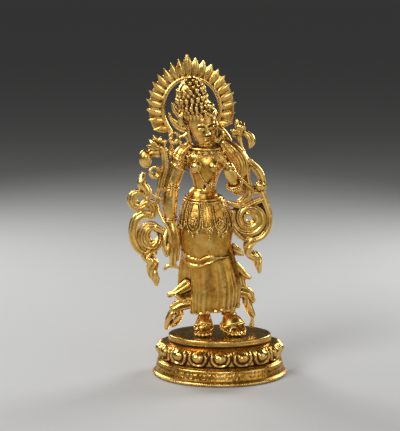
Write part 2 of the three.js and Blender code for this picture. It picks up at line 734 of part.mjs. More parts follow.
function makeFigure() {
	return join([
		makeTorso(),
		makeSkirt(),
		makeFeet(),
		...makeUpperBody(),
		...makeNimbusLugs(),
		...makeBackCloth(),
		...makeHipSash(),
		...makeRightArm(),
		...makeRightHand(),
		...makeLeftArm(),
		...makeHead(),
		...makeCrown(),
		...makeLeftLotus(),
		...makeRightLotus(),
		...makeLeftScarf(),
		...makeRightScarf(),
		...makeScarfEnds(),
		...makeJewellery(),
	]);
}

// Scene graph

function toMesh(name, solid, material) {
	const { vertProperties, triVerts } = solid.getMesh();
	const geometry = new THREE.BufferGeometry();
	geometry.setAttribute('position', new THREE.BufferAttribute(vertProperties, 3));
	geometry.setIndex(new THREE.BufferAttribute(triVerts, 1));
	geometry.computeVertexNormals();
	const mesh = new THREE.Mesh(geometry, material);
	mesh.name = name;
	return mesh;
}

const gilding = { color: 0xa07a3c, roughness: 0.38, metalness: 1 };

const statue = new THREE.Group();
statue.add(toMesh('figure', makeFigure(), new THREE.MeshStandardMaterial(gilding)));
statue.add(toMesh('flame_nimbus', makeNimbus(), new THREE.MeshStandardMaterial(gilding)));
statue.add(toMesh('lotus_pedestal', makePedestal(), new THREE.MeshStandardMaterial(gilding)));

export default statue;
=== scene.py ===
import bpy
import bmesh
import math
import random
import numpy as np
from mathutils import Matrix, Vector


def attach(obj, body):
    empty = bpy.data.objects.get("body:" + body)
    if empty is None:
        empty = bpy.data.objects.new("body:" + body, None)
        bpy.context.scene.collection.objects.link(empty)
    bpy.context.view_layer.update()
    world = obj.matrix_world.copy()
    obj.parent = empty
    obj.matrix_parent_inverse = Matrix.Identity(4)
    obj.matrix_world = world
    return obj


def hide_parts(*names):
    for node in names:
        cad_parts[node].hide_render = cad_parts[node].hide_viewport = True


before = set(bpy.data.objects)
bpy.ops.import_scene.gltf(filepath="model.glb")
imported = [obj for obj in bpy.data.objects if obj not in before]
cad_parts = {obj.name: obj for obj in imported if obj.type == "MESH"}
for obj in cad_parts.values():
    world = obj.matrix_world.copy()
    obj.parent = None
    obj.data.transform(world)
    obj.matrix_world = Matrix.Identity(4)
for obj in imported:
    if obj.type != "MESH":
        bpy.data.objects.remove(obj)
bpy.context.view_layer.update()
mm = 0.001


# Camera, floor and lights

camera = {
    "place": (-12.5, -787.8, 240.6),
    "target": (-12.5, 0, 101.7),
    "lens": 106.9,
    "sensor": 36,
}
floorSize = 60.0
lamps = [
    {"name": "key", "place": (-520, -520, 620), "size": 420, "power": 4.7},
    {"name": "fill", "place": (620, -460, 260), "size": 520, "power": 0.8},
    {"name": "front", "place": (60, -900, 420), "size": 300, "power": 1.2},
    {"name": "rimLeft", "place": (-420, 420, 420), "size": 260, "power": 2.0},
    {"name": "rimRight", "place": (430, 360, 340), "size": 260, "power": 2.0},
]
worldGrey = 0.05


def aim(thing, place, target):
    thing.location = Vector(place) * mm
    thing.rotation_euler = (Vector(target) - Vector(place)).to_track_quat("-Z", "Y").to_euler()
    bpy.context.scene.collection.objects.link(thing)


def setStudio():
    lensData = bpy.data.cameras.new("camera")
    lensData.lens = camera["lens"]
    lensData.sensor_width = camera["sensor"]
    lensData.clip_start = 0.01
    eye = bpy.data.objects.new("camera", lensData)
    aim(eye, camera["place"], camera["target"])
    bpy.context.scene.camera = eye
    bpy.context.scene.view_settings.view_transform = "Standard"
    for lamp in lamps:
        light = bpy.data.lights.new(lamp["name"], "AREA")
        light.size = lamp["size"] * mm
        light.energy = lamp["power"]
        aim(bpy.data.objects.new(lamp["name"], light), lamp["place"], (0, 0, 100))
    world = bpy.data.worlds.new("studio")
    bpy.context.scene.world = world
    world.use_nodes = True
    world.node_tree.nodes["Background"].inputs["Color"].default_value = (worldGrey, worldGrey, worldGrey, 1)


# Mesh helpers

def newPiece(name, bm, material, smooth=True):
    mesh = bpy.data.meshes.new(name)
    bmesh.ops.recalc_face_normals(bm, faces=bm.faces)
    bm.to_mesh(mesh)
    bm.free()
    piece = bpy.data.objects.new(name, mesh)
    bpy.context.scene.collection.objects.link(piece)
    mesh.materials.append(material)
    if smooth:
        mesh.shade_smooth()
    return piece


def coordsOf(mesh):
    co = np.empty(len(mesh.vertices) * 3)
    mesh.vertices.foreach_get("co", co)
    return co.reshape(-1, 3) / mm


def setCoords(mesh, co):
    mesh.vertices.foreach_set("co", (co * mm).ravel())
    mesh.update()


def normalsOf(mesh):
    normals = np.empty(len(mesh.vertices) * 3)
    mesh.vertex_normals.foreach_get("vector", normals)
    return normals.reshape(-1, 3)


def averager(mesh):
    # a function that moves each vertex's value to the mean of its neighbours'
    edges = np.empty(len(mesh.edges) * 2, np.int64)
    mesh.edges.foreach_get("vertices", edges)
    a, b = edges.reshape(-1, 2).T
    count = len(mesh.vertices)
    degree = np.maximum(np.bincount(a, minlength=count) + np.bincount(b, minlength=count), 1)

    def average(values):
        columns = [
            np.bincount(a, column[b], count) + np.bincount(b, column[a], count)
            for column in values.T
        ]
        return np.stack(columns, 1) / degree[:, None]
    return average


def relax(mesh, rounds):
    # smooths without shrinking: one step in, one step out
    average = averager(mesh)
    co = coordsOf(mesh)
    for _ in range(rounds):
        co += 0.55 * (average(co) - co)
        co -= 0.5 * (average(co) - co)
    setCoords(mesh, co)


def fuse(piece, voxel, rounds=2):
    # one skin over all the overlapping shells
    remesh = piece.modifiers.new("fuse", "REMESH")
    remesh.mode = "VOXEL"
    remesh.voxel_size = voxel * mm
    remesh.use_smooth_shade = True
    shape = bpy.data.meshes.new_from_object(piece.evaluated_get(bpy.context.evaluated_depsgraph_get()))
    piece.modifiers.clear()
    old = piece.data
    piece.data = shape
    shape.name = old.name
    bpy.data.meshes.remove(old)
    relax(shape, rounds)


def noteHollows(piece, reach=1.2):
    # stores how far each point lies below (+) or above (-) the smoothed surface, in mm
    mesh = piece.data
    average = averager(mesh)
    co = coordsOf(mesh)
    edges = np.empty(len(mesh.edges) * 2, np.int64)
    mesh.edges.foreach_get("vertices", edges)
    a, b = edges.reshape(-1, 2).T
    spacing = np.linalg.norm(co[a] - co[b], axis=1).mean()
    rounds = int(np.clip((reach / spacing) ** 2, 3, 40))
    smooth = co
    for _ in range(rounds):
        smooth = average(smooth)
    depth = ((smooth - co) * normalsOf(mesh)).sum(1)
    depth = average(depth[:, None])[:, 0]
    mesh.attributes.new("hollow", "FLOAT", "POINT").data.foreach_set("value", depth)


def finish(piece, *nodes):
    noteHollows(piece)
    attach(piece, "root")
    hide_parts(*nodes)
    mesh = piece.data
    mesh.calc_loop_triangles()
    print(f"{piece.name}: {len(mesh.loop_triangles)} triangles")


def rail(stations, step, closed=False):
    # stations are rows of [x, y, z, half width, half depth], joined by a smooth curve
    rows = np.array(stations, float)
    if closed:
        rows = np.vstack((rows[-2:], rows, rows[:2]))
    at = np.concatenate(([0], np.cumsum(np.linalg.norm(np.diff(rows[:, :3], axis=0), axis=1))))
    slopes = np.gradient(rows, at, axis=0)
    start, end = (at[2], at[-2]) if closed else (0, at[-1])
    count = max(3, round((end - start) / step))
    t = np.linspace(start, end, count + 1)
    if closed:
        t = t[:-1]
    i = np.clip(np.searchsorted(at, t, side="right") - 1, 0, len(at) - 2)
    span = (at[i + 1] - at[i])[:, None]
    s = (t[:, None] - at[i][:, None]) / span
    return (
        (2 * s**3 - 3 * s**2 + 1) * rows[i]
        + (s**3 - 2 * s**2 + s) * span * slopes[i]
        + (3 * s**2 - 2 * s**3) * rows[i + 1]
        + (s**3 - s**2) * span * slopes[i + 1]
    )


def placing(centre, along, up, halfWidth, halfDepth, roll=0):
    across = up.cross(along).normalized()
    deep = along.cross(across)
    if roll:
        turn = Matrix.Rotation(roll, 3, along)
        across, deep = turn @ across, turn @ deep
    place = Matrix.Identity(4)
    place.col[0][:3] = across * max(halfWidth, 0.02)
    place.col[1][:3] = deep * max(halfDepth, 0.02)
    place.col[2][:3] = along
    place.col[3][:3] = centre
    return Matrix.Scale(mm, 4) @ place


def pour(part, whole):
    # adds a finished part to a larger one and lets go of it
    mesh = bpy.data.meshes.new("part")
    part.to_mesh(mesh)
    part.free()
    whole.from_mesh(mesh)
    bpy.data.meshes.remove(mesh)


def sweep(bm, stations, sides=20, step=0.9, up=(0, 1, 0), section=None, closed=False, ends=(1, 1), twist=0):
    # a section carried along the stations; ends tell how round the start and the far end are
    path = rail(stations, step, closed)
    if closed:
        ways = np.roll(path[:, :3], -1, 0) - np.roll(path[:, :3], 1, 0)
    else:
        ways = np.gradient(path[:, :3], axis=0)
    up = Vector(up)
    rings = []
    last = len(path) - 1
    for i, (row, way) in enumerate(zip(path, ways)):
        rings.append((Vector(row[:3]), Vector(way).normalized(), row[3], row[4], twist * i / last))
    if not closed:
        for k, roundness in ((0, ends[0]), (-1, ends[1])):
            centre, way, width, depth, roll = rings[k]
            out = way if k else -way
            reach = roundness * min(width, depth)
            for swell in (0.35, 0.65, 0.87, 0.98):
                shrink = math.sqrt(1 - swell**2)
                ring = (centre + out * swell * reach, way, width * shrink, depth * shrink, roll)
                if roundness:
                    rings.insert(len(rings) if k else 0, ring)
    places = [placing(centre, way, up, width, depth, roll) for centre, way, width, depth, roll in rings]
    whole, bm = bm, bmesh.new()
    ring = bmesh.ops.create_circle(bm, segments=sides, radius=1)["verts"]
    if section:
        for vert in ring:
            vert.co.x, vert.co.y = section(vert.co.x, vert.co.y)
    edges = list({edge for vert in ring for edge in vert.link_edges})
    firstEdges = edges
    bmesh.ops.transform(bm, matrix=places[0], verts=ring)
    for before, place in zip(places, places[1:]):
        made = bmesh.ops.extrude_edge_only(bm, edges=edges)["geom"]
        ring = [g for g in made if isinstance(g, bmesh.types.BMVert)]
        inRing = set(ring)
        edges = [g for g in made if isinstance(g, bmesh.types.BMEdge) and inRing.issuperset(g.verts)]
        bmesh.ops.transform(bm, matrix=place @ before.inverted(), verts=ring)
    if closed:
        bmesh.ops.bridge_loops(bm, edges=firstEdges + edges)
    else:
        bmesh.ops.contextual_create(bm, geom=firstEdges)
        bmesh.ops.contextual_create(bm, geom=edges)
    pour(bm, whole)


def bead(bm, place, radius, around=8, down=6, squash=(1, 1, 1)):
    matrix = Matrix.Translation(Vector(place) * mm) @ Matrix.Diagonal((*[r * radius * mm for r in squash], 1))
    part = bmesh.new()
    bmesh.ops.create_uvsphere(part, u_segments=around, v_segments=down, radius=1, matrix=matrix)
    pour(part, bm)


def beadsAlong(bm, rows, radius, pitch, **kwargs):
    # beads on a smooth curve through [x, y, z] rows
    points = rail([[*row, 0, 0] for row in rows], pitch)
    for point in points:
        bead(bm, point[:3], radius, **kwargs)


def bell(x, centre, width):
    # a smooth bump of height 1
    return np.exp(-(((x - centre) / width) ** 2))


def ease(x, low, high):
    t = np.clip((x - low) / (high - low), 0, 1)
    return t * t * (3 - 2 * t)


# Shader helpers

class Wire:
    # a socket of a shader tree that takes part in Python expressions

    def __init__(self, tree, socket=None):
        self.tree = tree
        self.socket = socket

    def node(self, kind, settings=None, inputs=None, output=0):
        made = self.tree.nodes.new(kind)
        for name, value in (settings or {}).items():
            if name == "stops":
                ramp = made.color_ramp
                while len(ramp.elements) < len(value):
                    ramp.elements.new(1)
                for element, (position, colour) in zip(ramp.elements, value):
                    element.position = position
                    element.color = (*colour, 1)
            else:
                setattr(made, name, value)
        for key, value in (inputs or {}).items():
            if isinstance(value, Wire):
                self.tree.links.new(value.socket, made.inputs[key])
            else:
                made.inputs[key].default_value = value
        return Wire(self.tree, made.outputs[output])

    def math(self, operation, *values, clamp=False):
        settings = {"operation": operation, "use_clamp": clamp}
        return self.node("ShaderNodeMath", settings, dict(enumerate(values)))

    def __add__(self, other):
        return self.math("ADD", self, other)

    def __radd__(self, other):
        return self.math("ADD", other, self)

    def __sub__(self, other):
        return self.math("SUBTRACT", self, other)

    def __rsub__(self, other):
        return self.math("SUBTRACT", other, self)

    def __mul__(self, other):
        return self.math("MULTIPLY", self, other)

    def __rmul__(self, other):
        return self.math("MULTIPLY", other, self)

    def between(self, low, high):
        settings = {"interpolation_type": "SMOOTHSTEP"}
        return self.node("ShaderNodeMapRange", settings, {"Value": self, "From Min": low, "From Max": high})

    def blendTo(self, other, share):
        # colours: self where share is 0, other where it is 1
        return self.node("ShaderNodeMix", {"data_type": "RGBA"}, {0: share, 6: self, 7: other}, output=2)


gilding = {
    "gold": [(0.0, (0.33, 0.13, 0.016)), (0.45, (0.65, 0.33, 0.05)), (1.0, (0.93, 0.62, 0.19))],
    # near-black colour used both for the patina in hollows and for painted shade in recesses and between parts
    "patinaAndShade": (0.030, 0.013, 0.005),
    "rust": (0.24, 0.085, 0.018),
    "roughness": 0.27,
}


def noise(wire, coords, size, detail=3, kind="ShaderNodeTexNoise", **more):
    # size is the width of a blotch, in mm
    inputs = {"Vector": coords, "Scale": 1 / (size * mm), "Detail": detail, **more}
    return wire.node(kind, None, inputs, 0)


def makeGilding(name="gilt_bronze", rust=0.35, wear=0.5, patinaAndShade=1.0):
    material = bpy.data.materials.new(name)
    material.use_nodes = True
    tree = material.node_tree
    shader = tree.nodes["Principled BSDF"]
    wire = Wire(tree)
    coords = wire.node("ShaderNodeTexCoord", output=3)
    hollow = wire.node("ShaderNodeAttribute", {"attribute_name": "hollow"}, output=2)
    # ambient occlusion, used below as painted shade where shade falls in recesses and between parts
    open_ = wire.node("ShaderNodeAmbientOcclusion", {"samples": 6}, {"Distance": 7 * mm}, output=1)
    blotch = noise(wire, coords, 9, 4)
    cloud = noise(wire, coords, 3.2, 5)
    speck = noise(wire, coords, 0.8, 3)
    sunk = hollow.between(-0.02, 0.24)
    proud = (hollow * -1).between(0.0, 0.16)
    occlusionShade = (1 - open_).between(0.30, 0.92)
    tone = proud * 0.45 + (blotch - 0.5) * 1.1 + (cloud - 0.5) * 0.9 + wear - sunk * 0.35
    gold = wire.node("ShaderNodeValToRGB", {"stops": gilding["gold"]}, {"Fac": tone})
    rubbed = (noise(wire, coords, 6, 6) * 0.6 + cloud * 0.4).between(0.60 - 0.10 * rust, 0.68)
    worn = gold.blendTo((*gilding["rust"], 1), rubbed * rust)
    # mask of the near-black colour: patina in the hollows, painted shade from the ambient occlusion in recesses and
    # between parts, and random specks; the material's strength setting scales the patina and the painted shade together
    patinaAndShadeMask = wire.math("ADD", sunk * 0.75 + occlusionShade * 0.62, (speck - 0.5) * 0.35, clamp=True)
    patinaAndShadeMask = (patinaAndShadeMask * patinaAndShade).between(0.08, 0.86)
    colour = worn.blendTo((*gilding["patinaAndShade"], 1), patinaAndShadeMask)
    tree.links.new(colour.socket, shader.inputs["Base Color"])
    rough = gilding["roughness"] + (cloud - 0.5) * 0.22 + patinaAndShadeMask * 0.3 + rubbed * (0.15 * rust)
    tree.links.new(rough.socket, shader.inputs["Roughness"])
    metal = 1 - patinaAndShadeMask * 0.55
    tree.links.new(metal.socket, shader.inputs["Metallic"])
    height = speck * 0.5 + noise(wire, coords, 1.8, 2)
    bump = wire.node("ShaderNodeBump", None, {"Strength": 0.35, "Distance": 0.12 * mm, "Height": height})
    tree.links.new(bump.socket, shader.inputs["Normal"])
    return material


def makeFloor():
    bm = bmesh.new()
    bmesh.ops.create_grid(bm, x_segments=1, y_segments=1, size=floorSize / 2)
    paper = bpy.data.materials.new("pale_paper")
    paper.use_nodes = True
    shader = paper.node_tree.nodes["Principled BSDF"]
    shader.inputs["Base Color"].default_value = (0.62, 0.62, 0.61, 1)
    shader.inputs["Roughness"].default_value = 0.75
    floor = newPiece("floor", bm, paper)


setStudio()
makeFloor()
print("studio set")


# Lotus pedestal

pedestal = {
    "foot": (42.6, 33),
    "plate": (32.5, 21),
    "top": 26,
    "petals": 17,
    "around": 612,
    "rowStep": 0.36,
    "rimBead": 0.78,
    "plateBead": 0.5,
}
# the moulding from the ground up: [inset towards the plate, z]
moulding = [
    [0.09, 0], [0.02, 0.5], [0, 1.3], [0.03, 2.2], [0.14, 2.9], [0.17, 3.4], [0.2, 5], [0.25, 7.4],
    [0.28, 8.9], [0.3, 9.3], [0.4, 9.7], [0.42, 10.2], [0.5, 10.5], [0.56, 11], [0.6, 11.6],
    [0.56, 13], [0.5, 15], [0.48, 17], [0.53, 19], [0.66, 20.6], [0.9, 21.5], [1.04, 21.9],
    [1.04, 22.6], [0.97, 23], [0.985, 23.9], [0.99, 25.2], [1.01, 25.8], [1.05, 26],
]


def mouldingRows():
    rows = np.array(moulding)
    gaps = np.abs(np.diff(rows, axis=0)) * (10, 1)
    at = np.concatenate(([0], np.cumsum(np.hypot(*gaps.T))))
    t = np.linspace(0, at[-1], int(at[-1] / pedestal["rowStep"]))
    return np.stack((np.interp(t, at, rows[:, 0]), np.interp(t, at, rows[:, 1])), 1)


def petalRelief(side, up):
    # side and up are mm from the petal's middle
    reach = np.hypot(side, 0.96 * up)
    rim = bell(reach, 5.1, 0.75) * (1 - ease(up, 1.2, 4.2))
    gutter = bell(reach, 6.3, 0.55) * (1 - ease(up, 1.5, 4.5))
    boss = np.sqrt(np.clip(1 - (np.hypot(side, up - 0.6) / 3.5) ** 2, 0, 1))
    ribs = 0.18 * np.cos(2.6 * side) * bell(up, 3.6, 1.6)
    return 1.25 * rim - 0.9 * gutter + 2.1 * boss + ribs


def strokes(arc, z):
    # two rows of short engraved strokes, in cells along the band; they spell nothing
    dice = random.Random(5)
    cut = np.zeros_like(arc)
    length = arc.max()
    for low in (3.9, 6.4):
        at = 0.8
        while at < length - 2:
            for _ in range(dice.choice((2, 3))):
                x0, z0 = at + dice.uniform(0, 1.7), low + dice.uniform(0, 0.7)
                lean = dice.choice((0, 0, 0.9, -0.9, 6))
                tall = dice.uniform(0.8, 1.7)
                u = (arc - x0) * math.cos(lean) + (z - z0 - tall / 2) * math.sin(lean)
                w = (z - z0 - tall / 2) * math.cos(lean) - (arc - x0) * math.sin(lean)
                near = np.abs(arc - x0) < 3
                cut[near] = np.maximum(cut[near], (bell(u, 0, 0.24) * (np.abs(w) < tall / 2))[near])
            at += dice.uniform(2.2, 3.1)
    return cut


def makePedestal():
    bm = bmesh.new()
    rows = mouldingRows()
    foot, plate = Vector(pedestal["foot"]), Vector(pedestal["plate"])
    reaches = [(foot.lerp(plate, float(inset)), z) for inset, z in rows]
    ring = bmesh.ops.create_circle(bm, segments=pedestal["around"], radius=1)["verts"]
    edges = list({edge for vert in ring for edge in vert.link_edges})
    firstEdges = edges
    before = None
    for reach, z in reaches:
        place = Matrix.Translation((0, 0, z * mm)) @ Matrix.Diagonal((reach.x * mm, reach.y * mm, 1, 1))
        if before:
            made = bmesh.ops.extrude_edge_only(bm, edges=edges)["geom"]
            ring = [g for g in made if isinstance(g, bmesh.types.BMVert)]
            inRing = set(ring)
            edges = [g for g in made if isinstance(g, bmesh.types.BMEdge) and inRing.issuperset(g.verts)]
            bmesh.ops.transform(bm, matrix=place @ before.inverted(), verts=ring)
        else:
            bmesh.ops.transform(bm, matrix=place, verts=ring)
        before = place
    for edgeLoop in (firstEdges, edges):
        face = bmesh.ops.contextual_create(bm, geom=edgeLoop)["faces"]
        bmesh.ops.inset_region(bm, faces=face, thickness=0.8 * mm)
    piece = newPiece("lotus_pedestal_cast", bm, giltPedestal)
    mesh = piece.data
    co = coordsOf(mesh)
    reachX = np.interp(co[:, 2], rows[:, 1], foot.x + (plate.x - foot.x) * rows[:, 0])
    reachY = np.interp(co[:, 2], rows[:, 1], foot.y + (plate.y - foot.y) * rows[:, 0])
    angle = np.arctan2(co[:, 1] / reachY, co[:, 0] / reachX)
    phase = ((angle + math.pi / 2) * pedestal["petals"] / (2 * math.pi) + 0.5) % 1 - 0.5
    width = 2 * math.pi * np.hypot(reachX * np.sin(angle), reachY * np.cos(angle)) / pedestal["petals"]
    width = 0.5 * width + 0.5 * 13.2
    side, up = phase * width, co[:, 2] - 16.8
    inPetals = ease(co[:, 2], 10.9, 11.7) * (1 - ease(co[:, 2], 20.9, 21.8))
    swell = 1.2 + petalRelief(side, up)
    lift = inPetals * swell
    band = ease(co[:, 2], 3.3, 3.7) * (1 - ease(co[:, 2], 8.7, 9))
    arc = (angle + math.pi) * 38
    lift -= 0.32 * band * strokes(arc, co[:, 2])
    out = np.stack((np.cos(angle), np.sin(angle)), 1)
    onSide = (np.hypot(co[:, 0] / reachX, co[:, 1] / reachY) > 0.985)[:, None]
    co[:, :2] += out * lift[:, None] * onSide
    setCoords(mesh, co)
    noteHollows(piece)
    beads = bmesh.new()
    for (halfWidth, halfDepth), z, radius, pitch in (
        ((42.35 - 0.35, 32.4), 1.35, pedestal["rimBead"], 1.25),
        ((32.2, 20.7), 22.75, pedestal["plateBead"], 0.95),
    ):
        count = int(2 * math.pi * math.sqrt((halfWidth**2 + halfDepth**2) / 2) / pitch)
        for i in range(count):
            turn = 2 * math.pi * i / count
            bead(beads, (halfWidth * math.cos(turn), halfDepth * math.sin(turn), z), radius, 7, 5)
    trim = newPiece("pedestal_beading", beads, giltPedestal)
    finish(trim, "lotus_pedestal")
    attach(piece, "root")
    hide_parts("lotus_pedestal")


# Flame nimbus

nimbus = {
    "centre": (-17.8, 10.9, 167.5),
    "lean": math.radians(5),
    "band": (18, 19.7),
    "bandRadius": 1.35,
    "pairs": 10,
    "reach": 33.6,
    "drop": 1.1,
    "leafWidth": 2.75,
    "leafDepth": 1.15,
    "footLevel": 139.5,
    "feet": (1.4, -30.2),
}


def nimbusPoint(fromApex, halfWidth, halfHeight):
    angle = math.pi / 2 + nimbus["lean"] + fromApex
    x, y, z = nimbus["centre"]
    return Vector((x + halfWidth * math.cos(angle), y, z + halfHeight * math.sin(angle)))


def tipAngle(rank):
    return math.copysign(math.radians(9.2 * abs(rank) + 0.02 * abs(rank) ** 3), rank)


def leafStations(rank):
    bend = math.radians(1.1 * rank)
    reach = nimbus["reach"] - 0.68 * abs(rank) + (1.6 if rank == 0 else 0)
    halfWidth, halfHeight = nimbus["band"]
    root = nimbusPoint(tipAngle(rank) + bend * 1.1, halfWidth, halfHeight)
    tip = nimbusPoint(tipAngle(rank), reach, reach) - Vector((0, 0, nimbus["drop"]))
    bow = nimbusPoint(tipAngle(rank) + bend * 0.9, 0.72 * reach, 0.74 * reach)
    shares = ((0, 0.62), (0.25, 0.86), (0.5, 1), (0.72, 0.84), (0.87, 0.48), (0.95, 0.25), (1, 0.1))
    rows = []
    for t, share in shares:
        point = root * (1 - t) ** 2 + bow * (2 * t * (1 - t)) + tip * t**2
        rows.append([*point, nimbus["leafWidth"] * share, nimbus["leafDepth"] * (0.35 + 0.65 * share)])
    return rows


def makeNimbus():
    bm = bmesh.new()
    ridged = lambda x, y: (x, y * (0.62 + 0.38 * (1 - abs(x)) ** 0.8))
    for rank in range(-nimbus["pairs"], nimbus["pairs"] + 1):
        sweep(bm, leafStations(rank), sides=16, step=1.0, section=ridged, ends=(0, 0))
    end = tipAngle(nimbus["pairs"]) + math.radians(11)
    arc = [nimbusPoint(a, *nimbus["band"]) for a in np.linspace(-end, end, 41)]
    radius = nimbus["bandRadius"]
    left = [nimbus["feet"][1], nimbus["centre"][1], nimbus["footLevel"]]
    right = [nimbus["feet"][0], nimbus["centre"][1], nimbus["footLevel"]]
    rows = [right, *arc, left]
    sweep(bm, [[*row, radius, 1.28] for row in rows], sides=16, step=1.0, ends=(0, 0))
    web = [nimbusPoint(a, 22.5, 24) for a in np.linspace(-end + 0.15, end - 0.15, 41)]
    sweep(bm, [[*row, 4.4, 0.5] for row in web], sides=12, step=1.2, ends=(0.5, 0.5))
    piece = newPiece("flame_nimbus_cast", bm, giltBright)
    fuse(piece, 0.3, 1)
    finish(piece, "flame_nimbus")


# Body: torso, arms, hands and feet

torso = {
    # [z, x, y, half width, half depth] from the hips to the neck, as the solid
    "rows": [
        [76, -7, -0.5, 14.6, 11.3], [86, -8.8, -0.3, 16.4, 12], [95, -8.8, 0.3, 16.9, 12.2],
        [104, -9.2, 0.8, 15.2, 11.3], [111, -9.9, 0.8, 12, 9.5], [114.5, -10.3, 0.6, 10, 7.8],
        [119, -9.5, 0.4, 7.2, 6.4], [124, -9.4, 0, 7.8, 6.6], [130, -9.3, -0.4, 10, 7.4],
        [135, -8.9, -0.2, 12.4, 7.6], [139.5, -8.4, 0.6, 14.6, 7], [143, -8.7, 1.2, 12, 5.8],
        [145.5, -9, 1, 7.2, 4.8], [148, -9.8, 0.2, 5, 4.5], [153, -11, -0.5, 4.8, 4.8],
    ],
    "breasts": [[-14.4, -4.4, 132.9], [-3.6, -4.4, 132.9]],
    "breastReach": (4.7, 4.3, 4.5),
    "navel": (-9.6, 120.6),
    "voxel": 0.38,
}
rightArm = [
    [-19, 1.4, 145.4, 2.6, 3.2], [-23.2, 1.6, 141.4, 4.6, 4.7], [-25.4, 1.4, 135, 4.9, 4.8],
    [-28, 0.9, 127, 4.6, 4.6], [-30.4, 0.3, 120, 4.4, 4.4], [-31.2, -0.6, 113, 4.9, 4.5],
    [-31.2, -1.6, 105, 4.3, 3.8], [-30.9, -2.1, 100.4, 3.5, 3.1], [-30.4, -2.8, 96, 3.1, 2.3],
]
rightHand = {
    "palm": [[-30.5, -2.8, 98, 2.9, 2.2], [-29.6, -3.6, 93, 4.2, 2.5], [-29, -4.2, 87, 4.6, 2.4],
             [-28.8, -4.5, 83, 4.2, 1.9]],
    "fingers": [
        [[-32.2, -3.6, 94.5, 1.5, 1.5], [-34.6, -5.2, 88, 1.7, 1.6], [-34.8, -6.2, 82.6, 1.5, 1.4],
         [-33.8, -6.8, 78.2, 1.2, 1.1]],
        [[-31.8, -4.4, 86, 1.3, 1.3], [-32.8, -6, 81.4, 1.35, 1.3], [-33.2, -6.8, 77.6, 1.1, 1.1]],
        [[-30.2, -4.7, 85, 1.3, 1.4], [-30.4, -5.6, 78, 1.35, 1.35], [-30.4, -5.4, 70.8, 1, 1]],
        [[-27.9, -4.7, 85, 1.3, 1.4], [-28, -5.4, 78, 1.35, 1.35], [-28.4, -5.2, 71, 1, 1]],
        [[-25.9, -4.3, 85.5, 1.2, 1.3], [-26, -4.8, 80, 1.15, 1.2], [-26.6, -4.6, 74.6, 0.9, 0.9]],
    ],
    "leaf": [[-34.6, 68.4, 0.9], [-32.6, 70.6, 1.3], [-30.4, 71, 1.7], [-27.6, 70.2, 1.2], [-26, 69.2, 0.7]],
}
leftArm = {
    "upper": [[3, 1.6, 145.4, 2.6, 3.2], [7, 1.8, 140.5, 4.8, 4.8], [10, 2, 135, 4.8, 4.8],
              [12, 2.4, 127, 4.3, 4.4], [12.6, 1.6, 119.6, 4, 4]],
    "fore": [[12.4, 2.6, 119, 3.8, 3.4], [11.2, -4, 118.9, 4.1, 3.8], [9.6, -9.6, 121, 3.6, 3.4],
             [8, -13.2, 125.4, 2.6, 2.3]],
    "palm": [[7.8, -13.2, 125, 2.5, 2.1], [6.6, -14.6, 129, 3.7, 2.5], [5.4, -15.2, 133, 3.7, 2.4],
             [4.6, -15, 135.6, 2.8, 1.9]],
    "fingers": [
        [[8.6, -15, 128.6, 1.2, 1.2], [8.2, -16.8, 131.6, 1.2, 1.1], [5.8, -17, 132.6, 1, 0.85]],
        [[3.2, -15, 134, 1.15, 1.15], [2.6, -16.2, 136.4, 1.05, 1], [2.8, -16.6, 138, 0.85, 0.85]],
        [[5, -15.6, 135.2, 1.15, 1.15], [4.6, -16.8, 136.6, 1.05, 0.95], [4.2, -17, 134.6, 0.85, 0.8]],
        [[6.8, -15.4, 134, 1.15, 1.15], [6.4, -16.9, 135, 1.05, 0.95], [5.8, -17, 133.2, 0.85, 0.8]],
    ],
    "stem": [[7.5, -15, 133, 0.9, 0.9], [12, -11.4, 127, 1, 1], [16.6, -5.6, 122, 1.1, 1.1],
             [21, 0.4, 117.4, 1.2, 1.2]],
}
shawl = [[2.6, -1.8, 147.4, 3.4, 2.6], [6.4, -2, 143.6, 5, 4], [10.6, -1.6, 138.4, 5.8, 4.8],
         [12.6, -1.2, 132, 5.4, 4.8], [11.6, -1.6, 127, 3.6, 3.6]]
feet = {
    "right": {"heel": (-9.6, 5.5), "toe": (-10.4, -12.2), "cuff": 6.2, "ankle": (-9.6, 0.6, 50)},
    "left": {"heel": (6.4, 5.5), "toe": (10.4, -11.2), "cuff": 8, "ankle": (5.2, 0.6, 52)},
    "sole": 26.35,
}


def rowsAt(rows, z):
    # [x, y, half width, half depth] at each z, by the smooth curve through the rows
    table = np.array(rows, float)
    slopes = np.gradient(table, table[:, 0], axis=0)
    i = np.clip(np.searchsorted(table[:, 0], z) - 1, 0, len(table) - 2)
    span = (table[i + 1, 0] - table[i, 0])[..., None]
    s = (np.clip(z, table[0, 0], table[-1, 0])[..., None] - table[i, :1]) / span
    rows = (
        (2 * s**3 - 3 * s**2 + 1) * table[i] + (s**3 - 2 * s**2 + s) * span * slopes[i]
        + (3 * s**2 - 2 * s**3) * table[i + 1] + (s**3 - s**2) * span * slopes[i + 1]
    )
    return rows[..., 1:]


def onBody(angle, z, lift=0.0):
    # angle in radians from the front, positive towards the viewer's right
    x, y, width, depth = rowsAt(torso["rows"], np.array(z, float))
    return [x + (width + lift) * math.sin(angle), y - (depth + lift) * math.cos(angle), z]


def stationsOf(rows):
    return [[x, y, z, width, depth] for z, x, y, width, depth in rows]


def pleated(count, depth):
    # a section with ridges along it on both faces
    return lambda x, y: (x, y * (1 - depth * (0.5 + 0.5 * math.cos(count * math.pi * x))))


